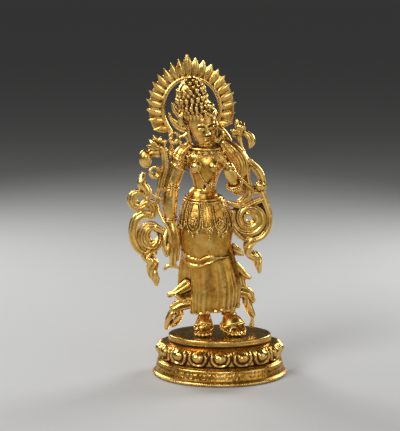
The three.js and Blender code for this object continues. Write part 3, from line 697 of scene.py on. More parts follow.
def makeFoot(bm, foot):
    (heelX, heelY), (toeX, toeY) = foot["heel"], foot["toe"]
    middle = ((heelX + toeX) / 2, (heelY + toeY) / 2)
    x, y, z = foot["ankle"]
    sweep(bm, [[x, y, z, 4.3, 4.3], [heelX, 0.4, 40, 3.6, 3.8], [heelX, 0.6, 34, 3.5, 3.9],
               [heelX, 1, 29.5, 3.7, 4.6], [heelX, 1, 27.4, 3.6, 4.8]], sides=24)
    sweep(bm, [[heelX, heelY - 3, 28.6, 3.4, 2.4], [*middle, 30, 4.4, 3.6],
               [toeX, toeY + 6.4, 28.6, 5.4, 2.3], [toeX, toeY + 3.6, 27.8, 5.6, 1.6]],
          sides=24, up=(0, 0, 1))
    for k in range(5):
        across = (k - 2) * 2.35
        reach = 0.10 * across**2
        thick = 1.25
        sweep(bm, [[toeX + 0.85 * across, toeY + 5.4, 28.4, 1.1, 1.3],
                   [toeX + across, toeY + 2.4 + reach, 28.3, thick, 1.3],
                   [toeX + across, toeY + 0.9 + reach, 27.6, thick, 1.05]], sides=14, step=0.6, up=(0, 0, 1))


def makeBody():
    bm = bmesh.new()
    sweep(bm, stationsOf(row for row in torso["rows"] if row[0] >= 104), sides=48)
    for place in torso["breasts"]:
        bead(bm, place, 1, 24, 16, torso["breastReach"])
    sweep(bm, rightArm, sides=24)
    sweep(bm, rightHand["palm"], sides=20, step=0.7)
    for finger in rightHand["fingers"]:
        sweep(bm, finger, sides=14, step=0.6)
    ribbon(bm, rightHand["leaf"], y=-4.8, depth=1.6, sides=14)
    sweep(bm, leftArm["upper"], sides=24)
    sweep(bm, leftArm["fore"], sides=24, up=(0, 0, 1))
    sweep(bm, leftArm["palm"], sides=20, step=0.7)
    for finger in leftArm["fingers"]:
        sweep(bm, finger, sides=12, step=0.5, up=(1, 0, 0))
    sweep(bm, leftArm["stem"], sides=12)
    sweep(bm, shawl, sides=48, section=pleated(6, 0.16))
    makeFoot(bm, feet["right"])
    makeFoot(bm, feet["left"])
    bmesh.ops.bisect_plane(
        bm, geom=[*bm.verts, *bm.edges, *bm.faces], plane_co=(0, 0, feet["sole"] * mm),
        plane_no=(0, 0, 1), clear_inner=True)
    bmesh.ops.holes_fill(bm, edges=bm.edges, sides=0)
    for x in nimbus["feet"]:
        lug = Matrix.Translation(Vector((x, 5.4, nimbus["footLevel"] + 0.5)) * mm)
        bmesh.ops.create_cube(bm, size=1, matrix=lug @ Matrix.Diagonal((4 * mm, 7.6 * mm, 5 * mm, 1)))
    piece = newPiece("body", bm, giltBody)
    fuse(piece, torso["voxel"], 3)
    mesh = piece.data
    co = coordsOf(mesh)
    normals = normalsOf(mesh)
    x, y, z = co.T
    front = np.clip(-normals[:, 1], 0, 1)
    navelX, navelZ = torso["navel"]
    lift = -1.1 * np.exp(-((x - navelX) ** 2 + (0.8 * (z - navelZ)) ** 2) / 0.9) * front
    lift -= 0.3 * bell(z, 117 + 0.03 * (x + 9.5) ** 2, 0.45) * front * (np.abs(x + 9.5) < 8)
    for crease in (147.9, 149.7):
        lift -= 0.25 * bell(z, crease - 0.02 * (x + 10) ** 2, 0.35) * (np.abs(x + 10) < 6)
    onArm = (x < -20) & (z > 130)
    for low in (136.6, 138.2, 131.6):
        lift += 0.4 * bell(z, low - 0.55 * (x + 24.5), 0.5) * onArm
    co += normals * lift[:, None]
    setCoords(mesh, co)
    finish(piece, "figure")


# Ribbons of the scarves lie in one plane: rows of [x, z, half width]

scarfPlane = 2


def folded(x, y):
    groove = math.exp(-(((x - 0.38) / 0.17) ** 2)) + math.exp(-(((x + 0.42) / 0.17) ** 2))
    return x, math.copysign(abs(y) ** 0.75, y) * (1 - 0.34 * groove)


def ribbon(bm, rows, y=scarfPlane, depth=2.4, sides=24, section=folded, **kwargs):
    stations = [[x, y, z, width, min(depth, 0.5 + width)] for x, z, width in rows]
    sweep(bm, stations, sides=sides, section=section, **kwargs)


def dished(x, y):
    # the outer edge is a raised roll, and the inner side slopes down to the hole
    slope = 0.55 + 0.45 * min(1, max(0, (x + 1) / 1.2))
    groove = 0.38 * math.exp(-(((x - 0.5) / 0.13) ** 2)) + 0.25 * math.exp(-(((x + 0.05) / 0.12) ** 2))
    return x, math.copysign(abs(y) ** 0.7, y) * (slope - groove)


def curl(bm, centre, reach, hole, holeReach, y=scarfPlane, depth=2.2, section=dished, sides=28):
    rows = []
    for turn in np.linspace(0, 2 * math.pi, 24, endpoint=False):
        outer = (centre[0] + reach[0] * math.cos(turn), centre[1] + reach[1] * math.sin(turn))
        inner = (hole[0] + holeReach[0] * math.cos(turn), hole[1] + holeReach[1] * math.sin(turn))
        width = math.dist(outer, inner) / 2
        rows.append([(outer[0] + inner[0]) / 2, y, (outer[1] + inner[1]) / 2, width, min(depth, width + 0.4)])
    sweep(bm, rows, sides=sides, section=section, closed=True)


def makeLeftScarf():
    bm = bmesh.new()
    ribbon(bm, [[-46, 112.2, 2.2], [-44.8, 115.4, 2.5], [-46.4, 118.4, 2.8], [-48.8, 121.4, 3.4],
                [-48.4, 125.2, 2.4], [-47.6, 128.2, 0.8]], twist=1.6)
    curl(bm, (-51, 111), (7.2, 7), (-49.6, 111.8), (2, 1.8))
    curl(bm, (-44.4, 105.6), (6.2, 6.4), (-46.4, 105), (1.6, 2.2))
    ribbon(bm, [[-42, 101.2, 2], [-47, 102.2, 2.5], [-52, 99.6, 3], [-54.4, 93, 3], [-54, 86, 3],
                [-51, 80.6, 3], [-45.6, 77.4, 2.6], [-41, 77.6, 1.8]])
    curl(bm, (-44, 87.6), (7.9, 10), (-41.4, 88.8), (2.6, 3.4), depth=2.9)
    curl(bm, (-44.6, 87.6), (5.4, 7.4), (-41.4, 88.8), (2.2, 2.9), y=1.2, depth=2.6)
    ribbon(bm, [[-44.6, 79.4, 3.4], [-46.4, 74.6, 3.9], [-42.2, 71.4, 4.2], [-42.8, 67, 3.6],
                [-42, 63.4, 3.2], [-40.4, 60.4, 2.4], [-40.1, 56.8, 0.9]], twist=5.2, depth=2.8)
    ribbon(bm, [[-39.6, 94, 2.2], [-33.6, 90.6, 1.8]], y=0.4)
    piece = newPiece("left_scarf", bm, giltBright)
    fuse(piece, 0.32, 1)
    finish(piece, "figure")


def spiral(centre, start, turns, radii, halfWidth, count=30):
    rows = []
    for t in np.linspace(0, 1, count):
        angle = math.radians(start + 360 * turns * t)
        radius = radii[0] + (radii[1] - radii[0]) * t**0.8
        rows.append([centre[0] + radius * math.cos(angle), centre[1] + radius * math.sin(angle), halfWidth])
    return rows


def makeRightScarf():
    bm = bmesh.new()
    ribbon(bm, [[9, 145.4, 2], [13.4, 138.6, 2.5], [18.6, 134.4, 2.6], [23, 130.4, 2.6], [26, 124.8, 2.5],
                [26, 119, 2.8], [20.6, 117.4, 2.6]])
    bead(bm, (24.8, 0.4, 120.4), 3.2, 20, 14)
    ribbon(bm, [[17.6, 136, 2], [16.8, 127, 2.1], [18, 119, 2.4], [17.6, 113.6, 3], [12.6, 110.4, 2]])
    ribbon(bm, [[25.2, 118.4, 2.4], [28, 110.6, 2.2], [30.8, 102, 2], [30.4, 94.2, 2.1], [26.4, 88, 2.1],
                [19.4, 85.8, 2.1], [13, 88.4, 2.1], [9, 93, 1.9]])
    ribbon(bm, [[6, 109.4, 1.6], [11, 107.8, 1.8], [16.5, 107.6, 2], [22, 110, 2], [27.4, 112, 1.8]])
    coil = spiral((18.6, 99.6), 160, 1.85, (11.4, 3.6), 2.15)
    ribbon(bm, coil)
    curl(bm, (18.5, 99.8), (4.1, 4.1), (18.3, 99.8), (1.8, 1.9), depth=2)
    curl(bm, (18.6, 99.4), (12.6, 12.2), (18.3, 99.8), (3, 3), y=2.6, depth=1.3, section=None)
    ribbon(bm, [[19.6, 86, 4], [17.6, 81, 3.4], [18.4, 77, 3.2], [22.6, 75, 3.4], [24.2, 70.6, 2.6],
                [24.8, 67.4, 1.6], [25.1, 65, 0.8]], twist=4.4, depth=2.8)
    piece = newPiece("right_scarf", bm, giltBright)
    fuse(piece, 0.32, 1)
    finish(piece, "figure")


def makeScarfEnds():
    bm = bmesh.new()
    ribbon(bm, [[-15, 45.8, 3.6], [-20, 45.4, 4.2], [-25, 44.2, 4.2], [-29.2, 41.8, 2.8]], depth=3.6)
    ribbon(bm, [[-25, 41.4, 1.6], [-29.6, 39.4, 2.1], [-32.4, 34.6, 1.9], [-34, 28.6, 1.2]], twist=2.5)
    ribbon(bm, [[-27, 41, 2.8], [-25.6, 37.2, 3.3], [-27.4, 33.4, 2.8], [-30, 30.6, 1.4]], twist=3)
    ribbon(bm, [[9.6, 52, 4.4], [14, 52.8, 4.4], [18, 51.2, 3.6], [20.6, 47, 2.2]], depth=3.6)
    ribbon(bm, [[16, 51, 2], [17, 47, 2.6], [18.6, 41.6, 2.7], [21, 37, 1.6]], depth=2.8, twist=2)
    ribbon(bm, [[20.8, 39, 1.3], [20.8, 35, 1], [20.4, 30.2, 1.8]], depth=1.8)
    piece = newPiece("scarf_ends", bm, giltBright)
    fuse(piece, 0.32, 1)
    finish(piece, "figure")


# Skirts and the cloth behind them

skirt = {
    "rows": [
        [38.6, -3.2, -0.8, 15.4, 10.4], [46, -2.8, -0.8, 15.9, 10.4], [55, -2.4, -0.6, 15.8, 10.2],
        [65, -3.4, -0.4, 15.2, 10], [74, -5.2, -0.3, 14.4, 10.2], [82, -7.4, -0.3, 14.4, 10.6],
    ],
    "hemSlope": 0.19,
    "voxel": 0.4,
}
backCloth = [[-8.2, 5.5, 94, 14.5, 4], [-9, 5.5, 76, 15.6, 4], [-8.6, 5.5, 58, 18.2, 3.6],
             [-7, 5, 48.5, 18.8, 2.4]]


def bodyAngle(co, rows):
    x, y, width, depth = rowsAt(rows, co[:, 2]).T
    return np.arctan2((co[:, 0] - x) / width, -(co[:, 1] - y) / depth)


def wrapped(bm, rows, shape, sides=128, step=0.6):
    # a closed shell over the rows, reshaped by a function of its points
    part = bmesh.new()
    sweep(part, stationsOf(rows), sides=sides, step=step, ends=(0, 0))
    mesh = bpy.data.meshes.new("shell")
    part.to_mesh(mesh)
    part.free()
    setCoords(mesh, shape(coordsOf(mesh)))
    bm.from_mesh(mesh)
    bpy.data.meshes.remove(mesh)


def moveOut(co, angle, lift):
    co[:, 0] += lift * np.sin(angle)
    co[:, 1] -= lift * np.cos(angle)


def shapeUnderskirt(co):
    angle = bodyAngle(co, skirt["rows"])
    z = co[:, 2].copy()
    low = np.clip((60 - z) / 20, 0, 1)
    onRight = ease(angle, 0.1, 0.35) * (1 - ease(angle, 1.3, 1.7))
    onLeft = ease(angle, -1.7, -1.3) * (1 - ease(angle, -0.55, -0.25))
    pleats = (0.32 * onRight + 0.16 * onLeft) * (1 - ease(z, 48, 74))
    lift = 0.3 * low * np.cos(10 * angle) + pleats * np.cos(30 * angle + 0.05 * z)
    lift += 0.22 * np.cos(44 * angle) * (1 - ease(z, 40, 60)) * (np.abs(angle) > 1.6)
    hem = 1 - ease(z, skirt["rows"][0][0], skirt["rows"][0][0] + 2.4)
    lift += hem * (0.55 + 0.55 * np.cos(21 * angle))
    moveOut(co, angle, lift)
    co[:, 1] += (1.9 + 0.5 * low) * bell(angle, -0.12, 0.24)
    co[:, 1] += 0.5 * bell(angle, 0.16, 0.05) * (1 - ease(z, 60, 76))
    co[:, 1] += 0.45 * bell(angle, -0.36, 0.05) * (1 - ease(z, 52, 72))
    co[:, 2] += low * skirt["hemSlope"] * (co[:, 0] + 18.5) + hem * 0.5 * np.cos(21 * angle + 1)
    return co


overskirt = {
    # the edge and the line above it, left to right across the front
    "edge": [(-25, 74.6), (-21.4, 73.3), (-16.9, 71.4), (-11.6, 71.1), (-7.5, 72.7), (-2.4, 74.2), (7, 74.8), (12, 75.4)],
    "line": [(-25, 81.3), (-21.2, 78), (-17.8, 76.1), (-12.6, 75.3), (-6.5, 77.7), (2.8, 76.8), (7.4, 77.9), (12, 80)],
}


def shapeOverskirt(co):
    angle = bodyAngle(co, torso["rows"])
    low = np.clip((92 - co[:, 2]) / 16, 0, 1)
    facing = ease(np.cos(angle), -0.3, 0.3)
    edge = facing * np.interp(co[:, 0], *zip(*overskirt["edge"])) + (1 - facing) * 74.5
    line = facing * np.interp(co[:, 0], *zip(*overskirt["line"])) + (1 - facing) * 79
    co[:, 2] += low * (edge - 76)
    z = co[:, 2]
    lift = 0.75 * bell(z, line, 0.55) - 0.3 * bell(z, line + 1.1, 0.5) + 0.9 * bell(z, edge + 0.3, 0.7)
    lift += 0.22 * np.cos(7 * angle + 0.18 * z) * low
    moveOut(co, angle, lift)
    co[:, 1] += 1.6 * low * bell(angle, -0.12, 0.24)
    return co


def makeSkirt():
    bm = bmesh.new()
    wrapped(bm, skirt["rows"], shapeUnderskirt)
    wrapped(bm, [row for row in torso["rows"] if row[0] < 114], shapeOverskirt)
    ribbon(bm, [[5, 82, 2.8], [8, 80.4, 3.4], [11, 78.6, 2.8], [14.4, 76.4, 0.8]], y=1)
    piece = newPiece("skirt", bm, giltSkirt)
    fuse(piece, skirt["voxel"], 2)
    finish(piece, "figure")


def makeBackCloth():
    bm = bmesh.new()
    sweep(bm, backCloth, sides=64, section=pleated(9, 0.12), ends=(0.4, 0.4))
    ribbon(bm, [[-20, 57, 4], [-24, 54.4, 3.2], [-28, 52, 2.2], [-32.4, 51, 1.2]])
    curl(bm, (-31.6, 50), (2.1, 1.9), (-31.4, 49.9), (0.6, 0.5), y=3)
    ribbon(bm, [[-27.6, 50.4, 1.2], [-25, 48.4, 1.4], [-22, 47.4, 1.4]], y=0)
    ribbon(bm, [[9, 69, 3.6], [13, 65.4, 3], [16, 62.6, 2.2], [18.9, 61.6, 1.3]])
    ribbon(bm, [[9, 66, 4], [12, 60.6, 3.7], [12.8, 55, 3.6], [9, 49.4, 2.4]])
    curl(bm, (15, 55.3), (2.6, 2.4), (15.2, 55.5), (1, 0.9))
    piece = newPiece("back_cloth", bm, giltBody)
    fuse(piece, 0.36, 2)
    finish(piece, "figure")


# Head, hair and crown: head and hair made upright at the origin, then put in place; the crown made where it sits

head = {
    "centre": (-11, -2.2, 157.6),
    "turn": math.radians(17),
    "tilt": math.radians(-9),
    "nod": math.radians(7),
    "rows": [
        [-10.3, 0, -4.8, 2.2, 1.6], [-9.4, 0, -4.5, 3.9, 3.1], [-7.6, 0, -3.7, 5.6, 5], [-4.6, 0, -2.3, 7.2, 6.9],
        [0, 0, -0.9, 8.5, 8.6], [4.6, 0, -0.2, 8.9, 9], [8, 0, 0.4, 8.6, 8.2], [11, -0.4, 0.8, 6.4, 6.4],
    ],
    "hairRows": [
        [5.6, 0, 1.4, 9.3, 8.6], [7.6, 0, 0.9, 9.6, 9], [10.2, -0.8, 0.7, 9, 8], [13, -2.4, 0.7, 8.8, 7.4],
        [15.6, -3.6, 0.9, 8.6, 7], [18.4, -4.3, 1.2, 9, 6.8], [21.6, -4.3, 1.6, 8.6, 6.4], [24.4, -3.9, 2, 7.8, 5.8],
        [27.4, -3.2, 2.6, 6, 4.8], [29.6, -2.7, 2.8, 4.2, 3.4], [31, -2.5, 3, 1.8, 1.6],
    ],
    "voxel": 0.27,
}
# rings of knobs round the piled hair, from the brow up: [z, count, size, height over width]
knobTiers = [
    [11.4, 20, 1.25, 1], [13.6, 17, 1.5, 1.2], [16, 18, 1, 1], [18.6, 16, 1.55, 1.3], [21.4, 16, 1, 1],
    [23.8, 13, 1.5, 1.3], [26.4, 13, 0.95, 1], [28.4, 9, 1.2, 1.3], [30, 6, 0.9, 1],
]
face = {
    "eye": (3.3, 0.8),
    "brow": 3.6,
    "noseTip": -2.9,
    "lips": -5.7,
    "chin": -9.0,
}


def faceRelief(x, z):
    # how far the front of the face stands forward, by place; the same on both sides
    side = np.abs(x)
    eyeX, eyeZ = face["eye"]
    fromEye = side - eyeX
    along = ease(side, 0.9, 1.7) * (1 - ease(side, 5.0, 5.9))
    lift = -0.95 * np.exp(-((fromEye / 2.5) ** 2) - ((z - eyeZ - 0.5) / 1.5) ** 2)
    lift += 1.05 * np.sqrt(np.clip(1 - (fromEye / 2.3) ** 2 - ((z - eyeZ) / 1.3) ** 2, 0, 1))
    lift -= 0.34 * bell(z, eyeZ + 1.15 - 0.13 * fromEye**2, 0.27) * along
    lift -= 0.42 * bell(z, eyeZ - 0.45 + 0.05 * fromEye**2, 0.24) * along
    lift += 0.5 * bell(z, face["brow"] - 0.09 * (side - 3.4) ** 2, 0.5) * ease(side, 0.4, 1.4) * (1 - ease(side, 5.4, 6.6))
    down = np.clip((face["brow"] - 0.8 - z) / (face["brow"] - 0.8 - face["noseTip"]), 0, 1)
    onNose = ease(z, face["noseTip"] - 0.9, face["noseTip"] - 0.2) * (1 - ease(z, 2.2, 3.6))
    lift += (0.55 + 2.0 * down**1.3) * np.exp(-((x / (0.9 + 0.5 * down)) ** 2)) * onNose
    lift += 1.0 * np.exp(-((side - 1.45) ** 2) / 0.5 - (z - face["noseTip"]) ** 2 / 0.55)
    lips = face["lips"]
    lift += 0.35 * np.exp(-((x / 3.6) ** 2) - ((z - lips) / 1.7) ** 2)
    lift += 0.7 * bell(z, lips + 0.58, 0.48) * np.exp(-((x / 2.2) ** 4)) * (1 - 0.25 * bell(x, 0, 0.5))
    lift += 0.8 * bell(z, lips - 0.68, 0.52) * np.exp(-((x / 1.8) ** 4))
    lift -= 0.62 * bell(z, lips + 0.025 * x**2, 0.2) * np.exp(-((x / 2.6) ** 6))
    lift -= 0.35 * np.exp(-((x / 2) ** 2) - ((z - lips + 1.9) / 0.6) ** 2)
    lift += 0.8 * np.exp(-((x / 2) ** 2) - ((z - face["chin"]) / 1.2) ** 2)
    lift += 0.35 * np.exp(-(((side - 4.6) / 2) ** 2) - ((z + 2.6) / 2.2) ** 2)
    return lift


def headPlace():
    turns = (
        Matrix.Rotation(head["turn"], 4, "Z") @ Matrix.Rotation(head["tilt"], 4, "Y")
        @ Matrix.Rotation(head["nod"], 4, "X"))
    return Matrix.Translation(Vector(head["centre"]) * mm) @ turns


def hairPoint(angle, z, lift=0.0):
    x, y, width, depth = rowsAt(head["hairRows"], np.array(z, float))
    return (x + (width + lift) * math.sin(angle), y - (depth + lift) * math.cos(angle), z)


def makeHead():
    bm = bmesh.new()
    sweep(bm, stationsOf(head["rows"]), sides=64, step=0.5, ends=(1, 0))
    for side in (-1, 1):
        sweep(bm, [[side * 8.5, 0.8, 2.2, 1, 1.7], [side * 9.2, 0.4, -0.6, 1.2, 2], [side * 9, 0, -4, 1, 1.4],
                   [side * 8.6, -0.2, -7.4, 0.9, 1.1]], sides=16, step=0.6)
    piece = newPiece("head", bm, giltBody)
    fuse(piece, head["voxel"], 3)
    mesh = piece.data
    co = coordsOf(mesh)
    facing = np.clip(-normalsOf(mesh)[:, 1] * 1.4, 0, 1)
    co[:, 1] -= facing * faceRelief(co[:, 0], co[:, 2])
    setCoords(mesh, co)
    relax(mesh, 1)
    mesh.transform(headPlace())
    finish(piece, "figure")


def makeHair():
    bm = bmesh.new()
    sweep(bm, stationsOf(head["hairRows"]), sides=64, step=0.6, ends=(0.6, 1))
    for z, count, size, height in knobTiers:
        for k in range(count):
            angle = 2 * math.pi * (k + 0.5 * (z % 5 > 2)) / count
            bead(bm, hairPoint(angle, z, 0.2), size, 12, 9, (0.85, 0.85, height))
    for k in range(26):
        # short locks between the hairline and the first tier
        angle = 2 * math.pi * k / 26
        rows = [[*hairPoint(angle, 6.2, 0.1), 0.7, 0.6], [*hairPoint(angle + 0.06, 8.4, 0.4), 1, 0.7],
                [*hairPoint(angle, 10.6, 0.1), 0.8, 0.6]]
        sweep(bm, rows, sides=8, step=0.8, up=(math.sin(angle), -math.cos(angle), 0))
    for k in range(3):
        # the strings that hang from the crown's middle round to her left temple
        path = ((0.05, 12.8 - 0.5 * k), (0.5, 9.6 - 1.1 * k), (0.95, 10.4 - 1.1 * k))
        rows = [[*hairPoint(angle, z, 1.5), 0.5, 0.5] for angle, z in path]
        sweep(bm, rows, sides=8, step=0.6, up=(0, 0, 1))
    for z in (11.6, 9.9, 8.4, 7):
        bead(bm, (0.2, -9.6 + 0.1 * z * (z > 11), z), 1.1 if z > 8 else 0.7, 12, 9, (0.8, 0.8, 1))
    piece = newPiece("hair", bm, giltHair)
    fuse(piece, head["voxel"], 0)
    piece.data.transform(headPlace())
    finish(piece, "figure")


def makeCrown():
    bm = bmesh.new()
    curl(bm, (-19.4, 169.8), (4, 4), (-19.4, 170.2), (2.6, 2.6), y=-8.2, depth=1.1, section=None, sides=14)
    bead(bm, (-19.4, -8.2, 170), 1, 16, 12, (2.1, 1.5, 2.3))
    ribbon(bm, [[-22.6, 166.4, 1], [-24.6, 163, 1.6], [-23.6, 159, 1.6]], y=-3, depth=1.2)
    bead(bm, (-12.6, -9.2, 172), 1, 16, 12, (1.9, 1.9, 2.7))
    bead(bm, (-6.2, -8, 170.8), 1, 16, 12, (2.4, 1.8, 2.2))
    ribbon(bm, [[-19, 162, 3.4], [-23, 163.4, 3], [-26.4, 166, 2.2], [-28.2, 169, 1.9], [-29.4, 171.6, 1]], y=0.4,
           depth=2)
    ribbon(bm, [[-26, 165.6, 1.2], [-24.4, 168.4, 1.4], [-25.2, 170.6, 0.8]], y=0, depth=1.4)
    ribbon(bm, [[-19, 156, 3], [-24, 157, 2.9], [-28, 160, 2.1], [-30.6, 163, 1.2], [-31.6, 165.4, 0.7]], y=0.6,
           depth=2)
    sweep(bm, [[-4, 4, 158, 2.8, 2.6], [0.6, 4.4, 153.4, 3.2, 2.6], [4, 4.4, 149, 3, 2.4], [6.6, 4, 144, 2.2, 2]],
          sides=24, section=pleated(3, 0.2))
    curl(bm, (-28.4, 150.4), (3.8, 4.2), (-28.8, 151.2), (1.9, 2), y=0.6, depth=1.5)
    curl(bm, (-22.4, 149), (3.5, 3.8), (-22.8, 149), (1.7, 2), y=0, depth=1.5)
    ribbon(bm, [[-19, 154.6, 1.4], [-22.4, 151.6, 1.1]], y=0)
    curl(bm, (-1.6, 152), (4, 5), (-1.2, 153.6), (2, 2.4), y=0, depth=1.5)
    piece = newPiece("crown", bm, giltHair)
    fuse(piece, 0.28, 1)
    finish(piece, "figure")


# Lotuses on their stems

lotuses = {
    "left": {
        "middle": (-38.6, 1.5, 145),
        "tips": [(-41.3, 152), (-45.2, 145.4), (-33, 149), (-32.4, 142.8), (-37, 150.6), (-43.8, 149.4), (-42.8, 141)],
    },
    "right": {
        "middle": (11.6, 1.5, 154.6),
        "tips": [(10, 162), (14.6, 159.6), (17.2, 154.4), (6.6, 155), (7.4, 151), (12.4, 160.4), (15.8, 157)],
    },
}


def makeFlower(bm, flower):
    x, y, z = flower["middle"]
    bead(bm, (x, y, z - 0.5), 1, 20, 14, (3, 2.8, 3))
    for k, (tipX, tipZ) in enumerate(flower["tips"]):
        forward = -1.6 if k % 2 else -0.4
        rows = []
        for t, width in ((0, 1.2), (0.3, 1.8), (0.6, 2), (0.85, 1.1), (1, 0.35)):
            bulge = 4 * t * (1 - t)
            rows.append([x + t * (tipX - x), y + forward * (0.4 + bulge), z - 1.2 + t * (tipZ - z + 1.2), width, 0.8])
        sweep(bm, rows, sides=16, step=0.6, section=pleated(2, 0.2))


def makeLotuses():
    bm = bmesh.new()
    makeFlower(bm, lotuses["left"])
    bead(bm, (-46.4, 1.5, 137.4), 1, 20, 14, (4.2, 3.5, 6))
    ribbon(bm, [[-44.4, 140, 2.6], [-41.4, 141.4, 3], [-38.5, 141.4, 3.4]], y=1.5)
    ribbon(bm, [[-35.8, 144, 2], [-34.4, 139, 2.1], [-34.2, 132, 2.2], [-35.8, 126, 2.5], [-37.2, 119, 2.3]], y=0.6)
    sweep(bm, [[-37.2, 0.6, 120, 1.6, 1.6], [-39.2, 0.4, 112, 1.3, 1.3], [-38.6, -0.4, 107, 1.2, 1.2],
               [-36.4, -3, 101.6, 1.1, 1.1], [-33.6, -6, 97, 1, 1], [-31.2, -7, 91, 0.9, 0.9],
               [-30.4, -7.2, 85.4, 0.8, 0.8]], sides=14)
    curl(bm, (-40.2, 128.8), (4.6, 4.3), (-40.8, 129.6), (1.4, 1.6), y=1)
    ribbon(bm, [[-37, 112, 1.4], [-39.6, 113.4, 1.4], [-41.6, 115, 0.6]], y=0.4, depth=1.4)
    makeFlower(bm, lotuses["right"])
    sweep(bm, [[13, 1.5, 154, 1.3, 1.3], [16.6, 1.5, 152.8, 2, 1.8], [19, 1.5, 150.4, 2.3, 2.1],
               [19.6, 1.5, 147.4, 2.2, 2], [18.6, 1.5, 144.6, 1, 1]], sides=20, section=pleated(2, 0.2))
    ribbon(bm, [[11.6, 153, 1.6], [12.2, 148, 1.5], [14, 142, 1.5], [16.4, 137, 1.6]], y=1.5)
    piece = newPiece("lotuses", bm, giltHair)
    fuse(piece, 0.3, 1)
    finish(piece, "figure")


# Jewellery

girdle = {
    "belt": (111.9, 113.5),
    "strings": [-1.35, -1.05, -0.85, -0.12, 0.02, 0.16, 1.0, 1.25, 1.55],
    "rosettes": [(-0.47, 100.2), (0.62, 99.8)],
    "medallion": (0.13, 94.4),
}


def hoop(bm, centre, axis, reach, thick, up=(0, 1, 0), sides=12):
    axis = Vector(axis).normalized()
    across = Vector(up).cross(axis).normalized()
    deep = axis.cross(across)
    rows = []
    for turn in np.linspace(0, 2 * math.pi, 20, endpoint=False):
        point = Vector(centre) + across * reach[0] * math.cos(turn) + deep * reach[1] * math.sin(turn)
        rows.append([*point, thick, thick])
    sweep(bm, rows, sides=sides, step=0.6, up=tuple(axis), closed=True)
    return rows


def beadedHoop(bm, centre, axis, reach, radius, pitch, up=(0, 1, 0)):
    axis = Vector(axis).normalized()
    across = Vector(up).cross(axis).normalized()
    deep = axis.cross(across)
    count = round(math.pi * (reach[0] + reach[1]) / pitch)
    for k in range(count):
        turn = 2 * math.pi * k / count
        bead(bm, Vector(centre) + across * reach[0] * math.cos(turn) + deep * reach[1] * math.sin(turn), radius)


def rosette(bm, place, size, out):
    # a boss in a ring of small beads, facing along out
    out = Vector(out).normalized()
    across = out.cross((0, 0, 1)).normalized()
    rise = across.cross(out)
    place = Vector(place)
    bead(bm, place + out * 0.2 * size, 0.5 * size, 12, 9)
    for k in range(9):
        turn = 2 * math.pi * k / 9
        bead(bm, place + (across * math.cos(turn) + rise * math.sin(turn)) * size, 0.3 * size)
    hoop(bm, place, out, (0.68 * size, 0.68 * size), 0.16 * size, (0, 0, 1), 8)


def onHips(points, lift):
    return [onBody(angle, z, lift) for angle, z in points]


def makeGirdle(bm):
    for level in girdle["belt"]:
        points = [(a, level - 0.9 * math.cos(a)) for a in np.linspace(0, 2 * math.pi, 24, endpoint=False)]
        sweep(bm, [[*point, 0.72, 0.72] for point in onHips(points, 0.9)], sides=12, step=0.7, up=(0, 0, 1), closed=True)
    rosette(bm, onBody(0.02, 110.8, 1.4), 1.7, (0, -1, 0))
    back = [a for a in np.arange(1.85, 2 * math.pi - 1.6, 0.3)]
    for k, angle in enumerate(girdle["strings"] + back):
        lowest = 97.4 if k % 2 else 99
        beadsAlong(bm, onHips([(angle, 110.4), (angle, 104), (angle, lowest)], 0.75), 0.55, 1.1)
        bead(bm, onBody(angle, lowest - 1.5, 0.8), 0.9, 10, 8, (0.8, 0.8, 1.3))
    for angle, level in girdle["rosettes"]:
        for spread, drop, radius in ((0.3, 7.6, 0.5), (0.2, 5.2, 0.42)):
            loop = onHips([(angle - spread * 0.8, 110.2), (angle - spread, level + 2), (angle - 0.62 * spread, level - 0.72 * drop),
                           (angle, level - drop), (angle + 0.62 * spread, level - 0.72 * drop), (angle + spread, level + 2),
                           (angle + 0.8 * spread, 110.2)], 0.8)
            beadsAlong(bm, loop, radius, 1.9 * radius)
        out = Vector((math.sin(angle), -math.cos(angle), 0))
        rosette(bm, onBody(angle, level, 1.2), 2.4, out)
        for shift in (-0.17, 0, 0.17):
            bead(bm, onBody(angle + shift, level - 9.6 + 14 * abs(shift), 1), 1, 10, 8, (0.8, 0.8, 1.4))
    angle, level = girdle["medallion"]
    rosette(bm, onBody(angle, level, 0.9), 2, (0.1, -1, 0))
    for k, radius in enumerate((0.7, 0.55, 0.8)):
        bead(bm, onBody(angle, level - 2.9 - 1.4 * k, 0.8), radius)
    for low, high in ((-1.3, -0.78), (-0.2, 0.38), (0.9, 1.4), (1.5, 2.1), (-2.0, -1.4), (2.2, 2.8), (-2.7, -2.1), (2.9, 3.5)):
        middle = (low + high) / 2
        points = [(low, 97.8), (middle, 94.6), (high, 97.8)]
        beadsAlong(bm, onHips(points, 0.8), 0.42, 0.85)


